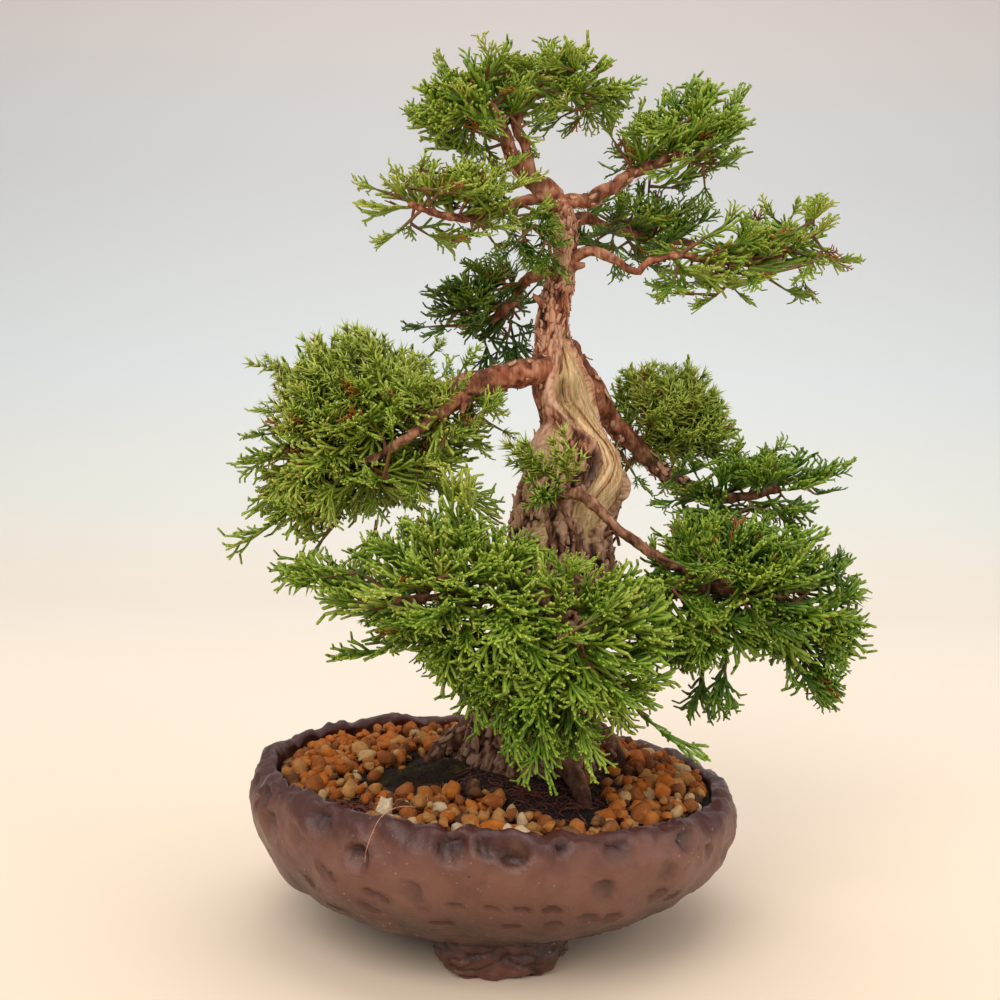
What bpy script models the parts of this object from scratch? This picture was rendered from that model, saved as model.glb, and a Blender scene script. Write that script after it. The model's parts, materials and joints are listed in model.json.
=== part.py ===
"""A juniper bonsai in a round, hand-pinched stoneware pot, about 300 mm tall.

The pot is one fired piece with three feet and a drain hole. A plastic screen covers the hole
and a bent wire clip holds it. Soil fills the pot, loose stones and a patch of moss lie on it,
and the tree grows from it: one piece of wood with a soft closed pad for each mass of leaves.
Everything is laid out in millimetres from the pot's axis, with +Y away from the viewer.
"""

import math

import bmesh
import bpy
from mathutils import Matrix, Vector, noise

MM = 0.001

# Driving dimensions, in millimetres
POT_AXIS_X = -18.0       # the pot stands left of the whole object's middle
POT_AXIS_Y = 0.3
POT_RADIUS = 81.0        # at the belly, its widest
RIM_HEIGHT = 51.5        # mean height of the rim above the ground
RIM_TILT = 4.0           # the rim rises this much on its high side
RIM_HIGH_SIDE = math.radians(195)
POT_BOTTOM = 9.0         # underside of the bowl
FLOOR_THICKNESS = 7.0
WALL_THICKNESS = 7.5
DRAIN_RADIUS = 8.0
POT_STEPS = 44           # facets round the pot, the soil and the stones
PINCH = 1.1              # how far the potter's fingers moved the wall

FOOT_RING_RADIUS = 44.0
FOOT_SIZE = (40.0, 24.0, 13.5)
FOOT_ANGLES = {"front": -86.0, "back_right": 34.0, "back_left": 154.0}

SCREEN_SIDE = 30.0
SCREEN_CELLS = 9         # an odd count, so that bars and openings take turns
SCREEN_THICKNESS = 1.0
SCREEN_CELL = SCREEN_SIDE / SCREEN_CELLS
CLIP_WIRE_RADIUS = 0.6
CLIP_LEG_X = SCREEN_CELL     # the legs pass through two openings in the screen's middle
CLIP_Y = SCREEN_CELL
CLIP_REACH = 14.0

SOIL_EDGE = 45.5         # height of the soil at the wall
SOIL_RING_STEP = 11      # between the rings of facets on the soil's surface
SOIL_MOUND = 11.0        # how much higher it is round the trunk
TRUNK_FOOT = (12.0, 2.0)
MOUND_SPREAD = 30.0
STONE_LAYER = 4.6
STONE_RING_INNER = 43.0
GAP = 0.35               # between pieces that touch

PAD_FINENESS = 6.5       # facets across a leaf pad's middle size
PAD_FACET = (4.8, 8.0)   # the finest and the coarsest facet of any pad
PAD_GAP = 1.2            # between one pad and the next
NOISE_SEED = 11

# The trunk from its buried root plate to the fork: x, y, z, half width, half depth
TRUNK = [
    (12.0, 2.0, 36.0, 23.0, 21.0),
    (12.0, 2.0, 50.0, 24.0, 22.0),
    (12.5, 2.0, 62.0, 20.5, 19.0),
    (13.5, 2.0, 76.0, 17.8, 17.0),
    (16.5, 1.0, 90.0, 16.3, 15.5),
    (19.5, 0.0, 107.0, 17.4, 15.5),
    (20.8, 0.0, 119.0, 17.8, 15.5),
    (20.3, 0.0, 130.0, 16.8, 15.0),
    (21.8, 0.0, 140.0, 17.4, 14.5),
    (24.5, 0.0, 149.0, 16.8, 14.0),
    (25.2, 0.0, 157.0, 14.6, 13.0),
    (24.6, 0.0, 163.5, 11.4, 11.5),
    (22.4, 0.0, 169.5, 10.2, 10.6),
    (20.2, 0.0, 176.0, 10.0, 9.8),
    (19.4, 0.0, 182.0, 9.4, 9.0),
    (18.2, 0.0, 188.0, 7.4, 7.6),
    (16.9, 0.0, 194.0, 5.5, 6.0),
    (16.4, 0.0, 201.0, 5.2, 5.3),
    (17.6, 0.0, 209.0, 4.8, 4.8),
    (19.5, 0.0, 218.0, 4.1, 4.2),
    (20.3, 0.0, 227.0, 3.8, 3.9),
    (19.4, 0.0, 235.0, 4.0, 4.0),
    (18.0, 0.0, 241.0, 3.6, 3.6),
]
TRUNK_SIDES = 16

# Each limb: points x, y, z with the radius there
LIMBS = {
    "left": [(19, 0, 184, 5.2), (14, -4, 185, 4.9), (5, -8, 183, 4.5), (-4, -10, 180, 4.3),
             (-13, -12, 177, 4.0), (-20, -12, 173, 3.5), (-33, -12, 170, 2.8),
             (-50, -11, 168, 2.1), (-66, -10, 163, 1.4)],
    "left_low": [(-11, -12, 177, 2.4), (-18, -18, 170, 2.1), (-28, -24, 162, 1.7),
                 (-42, -26, 153, 1.2)],
    "back_left": [(18, 2, 217, 2.4), (12, 8, 218, 2.1), (7, 15, 216, 1.9), (3, 20, 210, 1.8),
                  (-5, 24, 204, 1.6), (-17, 28, 202, 1.2)],
    "upper_left": [(17, 0, 240, 2.2), (11, -4, 241, 1.9), (2, -11, 237, 1.7), (-11, -16, 232, 1.5),
                   (-20, -18, 232, 1.3), (-31, -20, 235, 1.0)],
    "leader": [(18, 0, 238, 3.8), (13, 0, 244.5, 3.3), (4.5, -2, 250, 2.8), (0.5, -4, 257, 2.4),
               (-1.5, -6, 263, 1.9), (-6, -8, 270, 1.4), (-12, -8, 277, 1.0)],
    "leader_loop": [(8, -1, 247.5, 2.0), (6.5, -4, 257, 1.7), (3, -6, 265, 1.6), (7, -4, 273, 1.3),
                    (17, 0, 278, 1.1), (27, 2, 281, 0.9)],
    "upper_right": [(18, 0, 238, 3.0), (21, 0, 241, 2.6), (28, 2, 242, 2.3), (36, 4, 247, 2.1),
                    (45, 6, 253, 1.9), (57, 7, 258, 1.5), (68, 7, 267, 1.1)],
    "mid_right": [(20, 1, 232, 2.6), (26, 8, 237, 2.1), (34, 14, 236, 1.9), (50, 20, 232.5, 1.5),
                  (66, 22, 232, 1.1)],
    "far_right": [(20, 0, 221, 2.3), (24, -3, 222.5, 1.9), (30, -6, 223.5, 1.6),
                  (36, -8, 220.5, 1.4), (43, -8, 217, 1.3), (47, -8, 220, 1.3),
                  (57, -8, 222.5, 1.2), (71, -7, 221, 1.1), (91, -5, 224, 1.0), (103, -4, 232, 0.8)],
    "back_right": [(21, 3, 190, 4.6), (28, 10, 184, 4.2), (34, 16, 176, 3.9), (40, 22, 167.5, 3.6),
                   (50, 27, 158.5, 3.2), (58, 28, 151.5, 2.8), (70, 20, 145, 2.4),
                   (82, 9, 143, 1.9), (95, 3, 146, 1.3)],
    "front_twig": [(17, -10, 142, 2.1), (18.5, -20, 143.5, 1.9), (24, -26, 144.5, 1.8),
                   (31, -29, 139, 1.7), (37.5, -30, 133.5, 1.6), (44, -28, 128.5, 1.6),
                   (56, -25, 122, 1.3), (72, -22, 117, 1.0)],
    "front": [(17, -8, 112, 3.8), (10, -26, 112, 3.2), (1, -40, 113, 2.5), (-13, -48, 114, 1.9),
              (-30, -50, 112, 1.3)],
    "front_right": [(10, -26, 112, 2.4), (17, -42, 108, 1.9), (25, -50, 100, 1.4)],
    "right_low": [(26, -4, 110, 3.2), (40, -8, 109, 2.7), (56, -13, 112, 2.2), (72, -16, 114, 1.8),
                  (92, -18, 112, 1.2)],
    "root_left": [(6, 3, 70, 7.5), (-4, 6, 64, 5.2), (-13, 8, 57, 3.8), (-21, 9, 50, 2.8),
                  (-27, 9, 43, 2.0)],
    "root_back": [(13, 10, 66, 7.0), (9, 24, 60, 4.6), (5, 33, 53, 3.2), (3, 39, 45, 2.0)],
    "root_right": [(22, 5, 66, 7.0), (33, 9, 60, 4.8), (41, 12, 53, 3.4), (47, 14, 45, 2.2)],
    "root_front": [(17, -8, 64, 7.0), (22, -20, 58, 4.2), (27, -28, 51, 3.0), (30, -34, 44, 2.0)],
}
LIMB_BEVEL_RESOLUTION = 1

# Each leaf pad is a few overlapping clumps: centre x, y, z, then half sizes x, y, z
PADS = {
    "foliage_left": [(-49, -10, 168, 35, 28, 24), (-63, -8, 147, 23, 24, 20),
                     (-20, -12, 168, 22, 20, 16), (-47, -10, 186, 23, 19, 14),
                     (-38, -14, 148, 22, 20, 15)],
    "foliage_front": [(-40, -42, 117, 24, 16, 13), (-8, -46, 110, 32, 22, 23),
                      (14, -52, 87, 26, 18, 21), (37, -45, 99, 18, 16, 25),
                      (-18, -38, 127, 22, 16, 12)],
    "foliage_right": [(78, -14, 118, 33, 26, 22), (99, -14, 112, 23, 22, 21),
                      (106, -13, 92, 13, 14, 16), (62, -20, 104, 20, 18, 19)],
    "foliage_right_tip": [(94, 4, 148, 24, 17, 13), (76, 12, 144, 18, 17, 10)],
    "foliage_back_right": [(58, 30, 176, 23, 20, 16), (73, 32, 162, 16, 18, 15),
                           (50, 32, 160, 15, 15, 15)],
    "foliage_sprout": [(14, -26, 149, 10, 6, 9), (21, -27, 152, 7, 5, 6)],
    "foliage_crown_left": [(-14, -6, 268, 21, 18, 16), (-5, -5, 279, 16, 16, 14)],
    "foliage_crown_top": [(14, 0, 284, 17, 17, 13), (29, 2, 279, 13, 14, 13)],
    "foliage_crown_right": [(54, 6, 260, 19, 15, 12), (68, 7, 271, 15, 13, 13)],
    "foliage_upper_left": [(-20, -17, 238, 22, 13, 12), (-6, -14, 236, 14, 11, 10)],
    "foliage_back_left": [(-8, 25, 208, 19, 14, 13), (2, 20, 216, 11, 10, 9)],
    "foliage_mid_right": [(50, 18, 236, 20, 14, 11), (34, 14, 234, 12, 10, 9)],
    "foliage_far_right": [(88, -5, 225, 22, 12, 10), (66, -7, 218, 18, 11, 9)],
    "foliage_collar": [(8, -13, 228, 11, 6, 8), (14, -12, 221, 9, 6, 7)],
}

COLOURS = {
    "fired_clay": ((0.125, 0.066, 0.052), 0.55),
    "screen_plastic": ((0.03, 0.03, 0.03), 0.6),
    "clip_wire": ((0.45, 0.42, 0.40), 0.35),
    "soil": ((0.022, 0.015, 0.010), 0.95),
    "stones": ((0.52, 0.24, 0.07), 0.9),
    "moss": ((0.08, 0.11, 0.02), 0.95),
    "bark": ((0.30, 0.14, 0.08), 0.8),
    "leaves": ((0.10, 0.25, 0.02), 0.6),
}


def clear_scene():
    for obj in list(bpy.data.objects):
        bpy.data.objects.remove(obj)


def new_collection(name):
    collection = bpy.data.collections.new(name)
    bpy.context.scene.collection.children.link(collection)
    return collection


def make_materials():
    made = {}
    for name, (colour, roughness) in COLOURS.items():
        material = bpy.data.materials.new(name)
        material.use_nodes = True
        shader = material.node_tree.nodes["Principled BSDF"]
        shader.inputs["Base Color"].default_value = (*colour, 1.0)
        shader.inputs["Roughness"].default_value = roughness
        shader.inputs["Metallic"].default_value = 1.0 if name == "clip_wire" else 0.0
        made[name] = material
    return made


def add_object(name, data, collection):
    obj = bpy.data.objects.new(name, data)
    collection.objects.link(obj)
    return obj


def finish_node(obj, material):
    """Gives a visible piece its material and stands it on the pot's axis."""
    obj.data.materials.clear()
    obj.data.materials.append(material)
    if obj.type == "MESH":
        obj.data.shade_smooth()
        obj.data.set_sharp_from_angle(angle=math.radians(50))
    obj.parent = bpy.data.objects["pot_axis"]


def make_helper(obj):
    """Leaves a cutter or a joined limb out of the part, but still with the other pieces."""
    obj.hide_render = True
    obj.display_type = "WIRE"
    obj.parent = bpy.data.objects["pot_axis"]


def baked(obj):
    """The object's evaluated mesh, with caps and seams welded, in place of the object."""
    bpy.context.view_layer.update()
    graph = bpy.context.evaluated_depsgraph_get()
    mesh = bpy.data.meshes.new_from_object(obj.evaluated_get(graph))
    bm = bmesh.new()
    bm.from_mesh(mesh)
    bmesh.ops.remove_doubles(bm, verts=bm.verts, dist=0.00001)
    bmesh.ops.recalc_face_normals(bm, faces=bm.faces)
    bm.to_mesh(mesh)
    bm.free()
    collection = obj.users_collection[0]
    matrix = obj.matrix_world.copy()
    name = obj.name
    bpy.data.objects.remove(obj)
    made = add_object(name, mesh, collection)
    made.matrix_world = matrix
    return made


def turned(name, profile, collection, steps=POT_STEPS):
    """A lathe shape from (radius, height) points that run down the outer side."""
    mesh = bpy.data.meshes.new(name)
    bm = bmesh.new()
    points = [bm.verts.new((r * MM, 0, z * MM)) for r, z in profile]
    for first, second in zip(points, points[1:]):
        bm.edges.new((first, second))
    bm.to_mesh(mesh)
    bm.free()
    obj = add_object(name, mesh, collection)
    screw = obj.modifiers.new("turn", "SCREW")
    screw.steps = screw.render_steps = steps
    screw.use_merge_vertices = True
    screw.merge_threshold = 0.00001
    return baked(obj)


def rim_rise(angle):
    """How far the rim stands above or below its mean height at this angle round the pot."""
    tilt = RIM_TILT * math.cos(angle - RIM_HIGH_SIDE)
    ripple = noise.noise(Vector((math.cos(angle) * 3, math.sin(angle) * 3, 7.0)))
    return tilt + 1.4 * ripple


def pinched(radius, angle, height):
    """The radius after the potter's fingers pressed the wall in and out."""
    around = Vector((math.cos(angle), math.sin(angle), height / 60))
    return radius + PINCH * noise.noise(around * 2.6) + 0.5 * PINCH * noise.noise(around * 6.5)


def pinch_pot(obj, inset=0.0):
    """Pushes a turned pot surface out of true, and lets the wall follow the uneven rim."""
    for vertex in obj.data.vertices:
        x, y, z = vertex.co / MM
        radius = math.hypot(x, y)
        if radius < DRAIN_RADIUS + 2:
            continue
        angle = math.atan2(y, x)
        share = min(1.0, max(0.0, (z - POT_BOTTOM) / (RIM_HEIGHT - POT_BOTTOM)))
        grip = min(1.0, max(0.0, (radius - DRAIN_RADIUS) / 40)) * min(1.0, share * 2.5)
        new_radius = radius + grip * (pinched(radius, angle, z) - radius) - inset
        z += rim_rise(angle) * share**2
        vertex.co = Vector((math.cos(angle) * new_radius, math.sin(angle) * new_radius, z)) * MM


def inner_wall():
    """The bowl's inside from the soil's edge down to its flat floor."""
    inside = POT_RADIUS - WALL_THICKNESS
    floor = POT_BOTTOM + FLOOR_THICKNESS
    return [(inside, SOIL_EDGE), (inside - 0.8, floor + 22), (inside - 6, floor + 13),
            (inside - 14.5, floor + 5.5), (inside - 26.5, floor + 1), (30, floor)]


def pot_profile():
    """The wall's closed outline: rim, outer side, underside, drain edge, floor, inner side."""
    belly = POT_RADIUS
    outer_side = [
        (belly - 6.5, RIM_HEIGHT), (belly - 3.2, RIM_HEIGHT - 1.0), (belly - 1.2, RIM_HEIGHT - 4.0),
        (belly, RIM_HEIGHT - 10.5), (belly - 1.6, 34), (belly - 5.5, 26.5), (belly - 12, 19.5),
        (belly - 22, 13.5), (belly - 36, POT_BOTTOM),
    ]
    drain_edge = [(DRAIN_RADIUS, POT_BOTTOM), (DRAIN_RADIUS, POT_BOTTOM + FLOOR_THICKNESS)]
    lip = [(belly - WALL_THICKNESS - 1.0, RIM_HEIGHT - 1.6), (belly - 6.5, RIM_HEIGHT)]
    return outer_side + drain_edge + inner_wall()[::-1] + lip


def make_foot(name, angle_deg, helpers):
    """A torn slab of clay pressed under the bowl, flat where it stands."""
    bpy.ops.mesh.primitive_cube_add(size=1)
    foot = bpy.context.object
    foot.name = name
    for collection in foot.users_collection:
        collection.objects.unlink(foot)
    helpers.objects.link(foot)
    bm = bmesh.new()
    bm.from_mesh(foot.data)
    bmesh.ops.subdivide_edges(bm, edges=bm.edges, cuts=2, use_grid_fill=True)
    angle = math.radians(angle_deg)
    turn = Matrix.Rotation(angle + math.pi / 2, 3, "Z")
    centre = Vector((math.cos(angle), math.sin(angle), 0)) * FOOT_RING_RADIUS
    width, depth, height = FOOT_SIZE
    for vertex in bm.verts:
        p = vertex.co.copy()
        corner = max(0.0, Vector((p.x, p.y)).length - 0.5)
        p.x *= width * (1 - 0.45 * corner) * (1 + 0.10 * (p.z + 0.5))
        p.y *= depth * (1 - 0.45 * corner)
        on_ground = p.z < -0.49
        p.z = (p.z + 0.5) * height
        wobble = noise.noise_vector(Vector((p.x, p.y, p.z)) / 7 + centre / 9) * 1.3
        if on_ground:
            wobble.z = 0
        vertex.co = (turn @ (p + wobble) + centre) * MM
    bm.to_mesh(foot.data)
    bm.free()
    make_helper(foot)
    return foot


def join_by_union(obj, others):
    for other in others:
        union = obj.modifiers.new("join_" + other.name, "BOOLEAN")
        union.operation = "UNION"
        union.object = other


def cut_by(obj, cutters):
    for cutter in cutters:
        cut = obj.modifiers.new("clear_" + cutter.name, "BOOLEAN")
        cut.operation = "DIFFERENCE"
        cut.object = cutter


def make_pot(parts, helpers, material):
    pot = turned("pot", pot_profile(), parts)
    pinch_pot(pot)
    feet = [make_foot("foot_" + side, angle, helpers) for side, angle in FOOT_ANGLES.items()]
    join_by_union(pot, feet)
    finish_node(pot, material)
    return pot


def make_screen(parts, material):
    """A square of plastic mesh over the drain hole: a grid with every second cell left out."""
    bpy.ops.mesh.primitive_grid_add(x_subdivisions=SCREEN_CELLS, y_subdivisions=SCREEN_CELLS,
                                    size=SCREEN_SIDE * MM)
    screen = bpy.context.object
    screen.name = "drain_screen"
    for collection in screen.users_collection:
        collection.objects.unlink(screen)
    parts.objects.link(screen)
    cell = SCREEN_CELL * MM
    bm = bmesh.new()
    bm.from_mesh(screen.data)
    openings = []
    for face in bm.faces:
        centre = face.calc_center_median()
        column = math.floor(centre.x / cell + SCREEN_CELLS / 2)
        row = math.floor(centre.y / cell + SCREEN_CELLS / 2)
        if column % 2 == 1 and row % 2 == 1:
            openings.append(face)
    bmesh.ops.delete(bm, geom=openings, context="FACES")
    bm.to_mesh(screen.data)
    bm.free()
    screen.location.z = (POT_BOTTOM + FLOOR_THICKNESS + GAP) * MM
    thick = screen.modifiers.new("thickness", "SOLIDIFY")
    thick.thickness = SCREEN_THICKNESS * MM
    thick.offset = 1.0
    finish_node(screen, material)


def wire_curve(name, points, radius, collection):
    curve = bpy.data.curves.new(name, "CURVE")
    curve.dimensions = "3D"
    curve.bevel_depth = radius * MM
    curve.bevel_resolution = LIMB_BEVEL_RESOLUTION
    curve.use_fill_caps = True
    spline = curve.splines.new("POLY")
    spline.points.add(len(points) - 1)
    for point, place in zip(spline.points, points):
        point.co = (*(Vector(place[:3]) * MM), 1.0)
        if len(place) > 3:
            point.radius = place[3]
    return add_object(name, curve, collection)


def make_clip(parts, material):
    """A staple of wire: its legs go down through the screen and the hole and spread below."""
    under = POT_BOTTOM - GAP - CLIP_WIRE_RADIUS
    over = POT_BOTTOM + FLOOR_THICKNESS + GAP + SCREEN_THICKNESS + GAP + CLIP_WIRE_RADIUS
    bend = 1.4
    half = [(CLIP_REACH, CLIP_Y, under), (CLIP_LEG_X + bend, CLIP_Y, under),
            (CLIP_LEG_X + 0.4, CLIP_Y, under + 0.4), (CLIP_LEG_X, CLIP_Y, under + bend),
            (CLIP_LEG_X, CLIP_Y, over - bend), (CLIP_LEG_X - 0.4, CLIP_Y, over - 0.4),
            (CLIP_LEG_X - bend, CLIP_Y, over)]
    other_half = [(-x, y, z) for x, y, z in reversed(half)]
    clip = wire_curve("screen_clip", half + other_half, CLIP_WIRE_RADIUS, parts)
    finish_node(clip, material)


def soil_top(x, y):
    """Height of the soil: low at the wall, mounded round the trunk, a little uneven."""
    from_trunk = math.hypot(x - TRUNK_FOOT[0], y - TRUNK_FOOT[1])
    mound = SOIL_MOUND * math.exp(-((from_trunk / MOUND_SPREAD) ** 2))
    high_side = 0.55 * RIM_TILT * math.hypot(x, y) / POT_RADIUS
    tilt = high_side * math.cos(math.atan2(y, x) - RIM_HIGH_SIDE)
    return SOIL_EDGE + mound + tilt + 0.8 * noise.noise(Vector((x, y, 0)) / 11)


def make_soil(parts, cutters, material):
    """Everything inside the bowl's wall up to the soil's surface."""
    floor = POT_BOTTOM + FLOOR_THICKNESS
    rings = [(radius, SOIL_EDGE) for radius in range(0, 70, SOIL_RING_STEP)]
    soil = turned("soil", rings + inner_wall() + [(0, floor)], parts)
    on_top = [v.index for v in soil.data.vertices if v.co.z / MM > SOIL_EDGE - 0.1]
    pinch_pot(soil, inset=2 * GAP)
    for index in on_top:
        vertex = soil.data.vertices[index]
        vertex.co.z = soil_top(vertex.co.x / MM, vertex.co.y / MM) * MM
    for vertex in soil.data.vertices:
        if vertex.co.z < (floor + 4) * MM:
            vertex.co.z += GAP * MM
    cut_by(soil, cutters)
    finish_node(soil, material)


def make_screen_pocket(helpers):
    """The room that the soil leaves for the screen and the clip's bar."""
    side = SCREEN_SIDE + 2 * GAP
    low = POT_BOTTOM + FLOOR_THICKNESS - 2
    high = POT_BOTTOM + FLOOR_THICKNESS + SCREEN_THICKNESS + 2 * CLIP_WIRE_RADIUS + 3 * GAP
    bpy.ops.mesh.primitive_cube_add(size=1, location=(0, 0, (low + high) / 2 * MM))
    pocket = bpy.context.object
    pocket.name = "screen_pocket"
    pocket.scale = (side * MM, side * MM, (high - low) * MM)
    for collection in pocket.users_collection:
        collection.objects.unlink(pocket)
    helpers.objects.link(pocket)
    make_helper(pocket)
    return pocket


def blanket(name, cells, to_plan, thickness, lump, parts):
    """A layer that follows the soil: a grid bent into place by to_plan, then given thickness.

    to_plan turns the grid's (u, v), from 0 to 1, into x, y; lump raises the upper side.
    """
    bpy.ops.mesh.primitive_grid_add(x_subdivisions=cells[0], y_subdivisions=cells[1], size=1)
    layer = bpy.context.object
    layer.name = name
    for collection in layer.users_collection:
        collection.objects.unlink(layer)
    parts.objects.link(layer)
    for vertex in layer.data.vertices:
        x, y = to_plan(vertex.co.x + 0.5, vertex.co.y + 0.5)
        vertex.co = Vector((x, y, soil_top(x, y) + 2.2 * GAP)) * MM
    bm = bmesh.new()
    bm.from_mesh(layer.data)
    bmesh.ops.remove_doubles(bm, verts=bm.verts, dist=0.00001)
    bmesh.ops.recalc_face_normals(bm, faces=bm.faces)
    if sum(face.normal.z for face in bm.faces) < 0:
        bmesh.ops.reverse_faces(bm, faces=bm.faces)
    bottom = set(bm.verts)
    shell = bmesh.ops.extrude_face_region(bm, geom=bm.faces[:])
    for item in shell["geom"]:
        if isinstance(item, bmesh.types.BMVert) and item not in bottom:
            x, y, z = item.co / MM
            item.co.z = (z + thickness + lump(x, y)) * MM
    bmesh.ops.recalc_face_normals(bm, faces=bm.faces)
    bm.to_mesh(layer.data)
    bm.free()
    return layer


def make_stones(parts, cutters, material):
    """The loose stones, as one ring-shaped layer with a lumpy top."""
    def to_plan(u, v):
        angle = u * math.tau
        wobble = noise.noise(Vector((math.cos(angle) * 2.2, math.sin(angle) * 2.2, 3.0)))
        inner = STONE_RING_INNER + 7 * wobble
        outer = pinched(POT_RADIUS - WALL_THICKNESS, angle, RIM_HEIGHT) - 3.2
        radius = inner + (outer - inner) * v
        return radius * math.cos(angle), radius * math.sin(angle)

    def lump(x, y):
        return 1.3 * noise.noise(Vector((x, y, 5)) / 3.4)

    stones = blanket("stone_layer", (POT_STEPS, 4), to_plan, STONE_LAYER, lump, parts)
    cut_by(stones, cutters)
    finish_node(stones, material)


def make_moss(parts, cutters, material):
    """A cushion of moss between the trunk and the stones on the left."""
    centre = Vector((-23, -9))
    half = Vector((14, 10))

    def to_plan(u, v):
        across = Vector((2 * u - 1, 2 * v - 1))
        disc = Vector((across.x * math.sqrt(1 - across.y**2 / 2),
                       across.y * math.sqrt(1 - across.x**2 / 2)))
        return centre.x + disc.x * half.x, centre.y + disc.y * half.y

    def lump(x, y):
        out = ((x - centre.x) / half.x) ** 2 + ((y - centre.y) / half.y) ** 2
        return 1.6 * max(0.0, 1 - out) + 0.5 * noise.noise(Vector((x, y, 9)) / 3)

    moss = blanket("moss", (10, 8), to_plan, 1.0, lump, parts)
    cut_by(moss, cutters)
    finish_node(moss, material)


def smooth_path(points, pieces):
    """Points along a Catmull-Rom curve through the given ones, any number of values each."""
    ends = [points[0], *points, points[-1]]
    path = []
    for before, start, end, after in zip(ends, ends[1:], ends[2:], ends[3:]):
        for step in range(pieces):
            t = step / pieces
            path.append(tuple(
                0.5 * (2 * b + (c - a) * t + (2 * a - 5 * b + 4 * c - d) * t**2
                       + (3 * b - a - 3 * c + d) * t**3)
                for a, b, c, d in zip(before, start, end, after)))
    path.append(tuple(points[-1]))
    return path


def make_trunk(name, collection, grow=0.0):
    """The trunk as a loft: unlike, lobed sections, one above another, bridged together."""
    mesh = bpy.data.meshes.new(name)
    bm = bmesh.new()
    rings = []
    stations = smooth_path(TRUNK, 2)
    stations[0] = (*stations[0][:2], stations[0][2] - grow, *stations[0][3:])
    stations[-1] = (*stations[-1][:2], stations[-1][2] + grow, *stations[-1][3:])
    for x, y, z, half_x, half_y in stations:
        made = bmesh.ops.create_circle(bm, segments=TRUNK_SIDES, radius=1.0)
        ring = made["verts"]
        for vertex in ring:
            angle = math.atan2(vertex.co.y, vertex.co.x)
            lobes = 1 + 0.05 * math.cos(3 * angle + z / 22) + 0.035 * math.cos(5 * angle - z / 13)
            vertex.co = Vector((
                x + math.cos(angle) * (half_x * lobes + grow),
                y + math.sin(angle) * (half_y * lobes + grow),
                z)) * MM
        rings.append(list({edge for vertex in ring for edge in vertex.link_edges}))
    for lower, upper in zip(rings, rings[1:]):
        bmesh.ops.bridge_loops(bm, edges=lower + upper)
    bmesh.ops.holes_fill(bm, edges=rings[0] + rings[-1], sides=TRUNK_SIDES)
    bmesh.ops.recalc_face_normals(bm, faces=bm.faces)
    bm.to_mesh(mesh)
    bm.free()
    return add_object(name, mesh, collection)


def make_limb(name, points, collection, grow=0.0):
    """A branch or root: a tapering tube through the points. grow makes the clearance round it."""
    path = [(x, y, z, r + grow) for x, y, z, r in smooth_path(points, 2)]
    if grow:
        last, before = Vector(path[-1][:3]), Vector(path[-2][:3])
        tip = last + (last - before).normalized() * grow
        path[-1] = (*tip, path[-1][3])
    limb = baked(wire_curve(name, path, 1.0, collection))
    make_helper(limb)
    return limb


def make_tree(parts, helpers, material):
    """All the wood, from roots to branch ends, joined into one piece."""
    trunk = make_trunk("trunk_and_branches", parts)
    limbs = [make_limb("wood_" + name, points, helpers) for name, points in LIMBS.items()]
    join_by_union(trunk, limbs)
    finish_node(baked(trunk), material)
    for limb in limbs:
        bpy.data.objects.remove(limb)


def make_skin(name, clumps, collection, grow=0.0):
    """Overlapping clumps melted into one closed skin."""
    mesh = bpy.data.meshes.new(name)
    bm = bmesh.new()
    for x, y, z, a, b, c in clumps:
        size = Matrix.Diagonal((a + grow, b + grow, c + grow, 1))
        place = Matrix.Translation(Vector((x, y, z)) * MM) @ size
        bmesh.ops.create_icosphere(bm, subdivisions=3, radius=MM, matrix=place)
    for vertex in bm.verts:
        vertex.co += noise.noise_vector(vertex.co / MM / 13) * 2.2 * MM
    bm.to_mesh(mesh)
    bm.free()
    skin = add_object(name, mesh, collection)
    melt = skin.modifiers.new("melt", "REMESH")
    melt.mode = "VOXEL"
    middle_size = sum(clumps[0][3:]) / 3 * 2
    melt.voxel_size = min(max(middle_size / PAD_FINENESS, PAD_FACET[0]), PAD_FACET[1]) * MM
    melt.use_smooth_shade = True
    return skin


def make_pad(name, clumps, parts, cutters, material):
    """A leaf pad, cut clear of its branch and of the pads beside it."""
    pad = make_skin(name, clumps, parts)
    cut_by(pad, cutters)
    finish_node(pad, material)


def clumps_meet(clumps, others):
    """True if the boxes round any two clumps overlap."""
    for one in clumps:
        for other in others:
            if all(abs(one[i] - other[i]) < one[i + 3] + other[i + 3] + PAD_GAP for i in range(3)):
                return True
    return False


def reaches(points, clumps):
    """True if a limb comes near enough to a pad to need clearance."""
    for x, y, z, radius in smooth_path(points, 3):
        for cx, cy, cz, a, b, c in clumps:
            room = 5 + radius
            out = (((x - cx) / (a + room)) ** 2 + ((y - cy) / (b + room)) ** 2
                   + ((z - cz) / (c + room)) ** 2)
            if out < 1:
                return True
    return False


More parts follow.
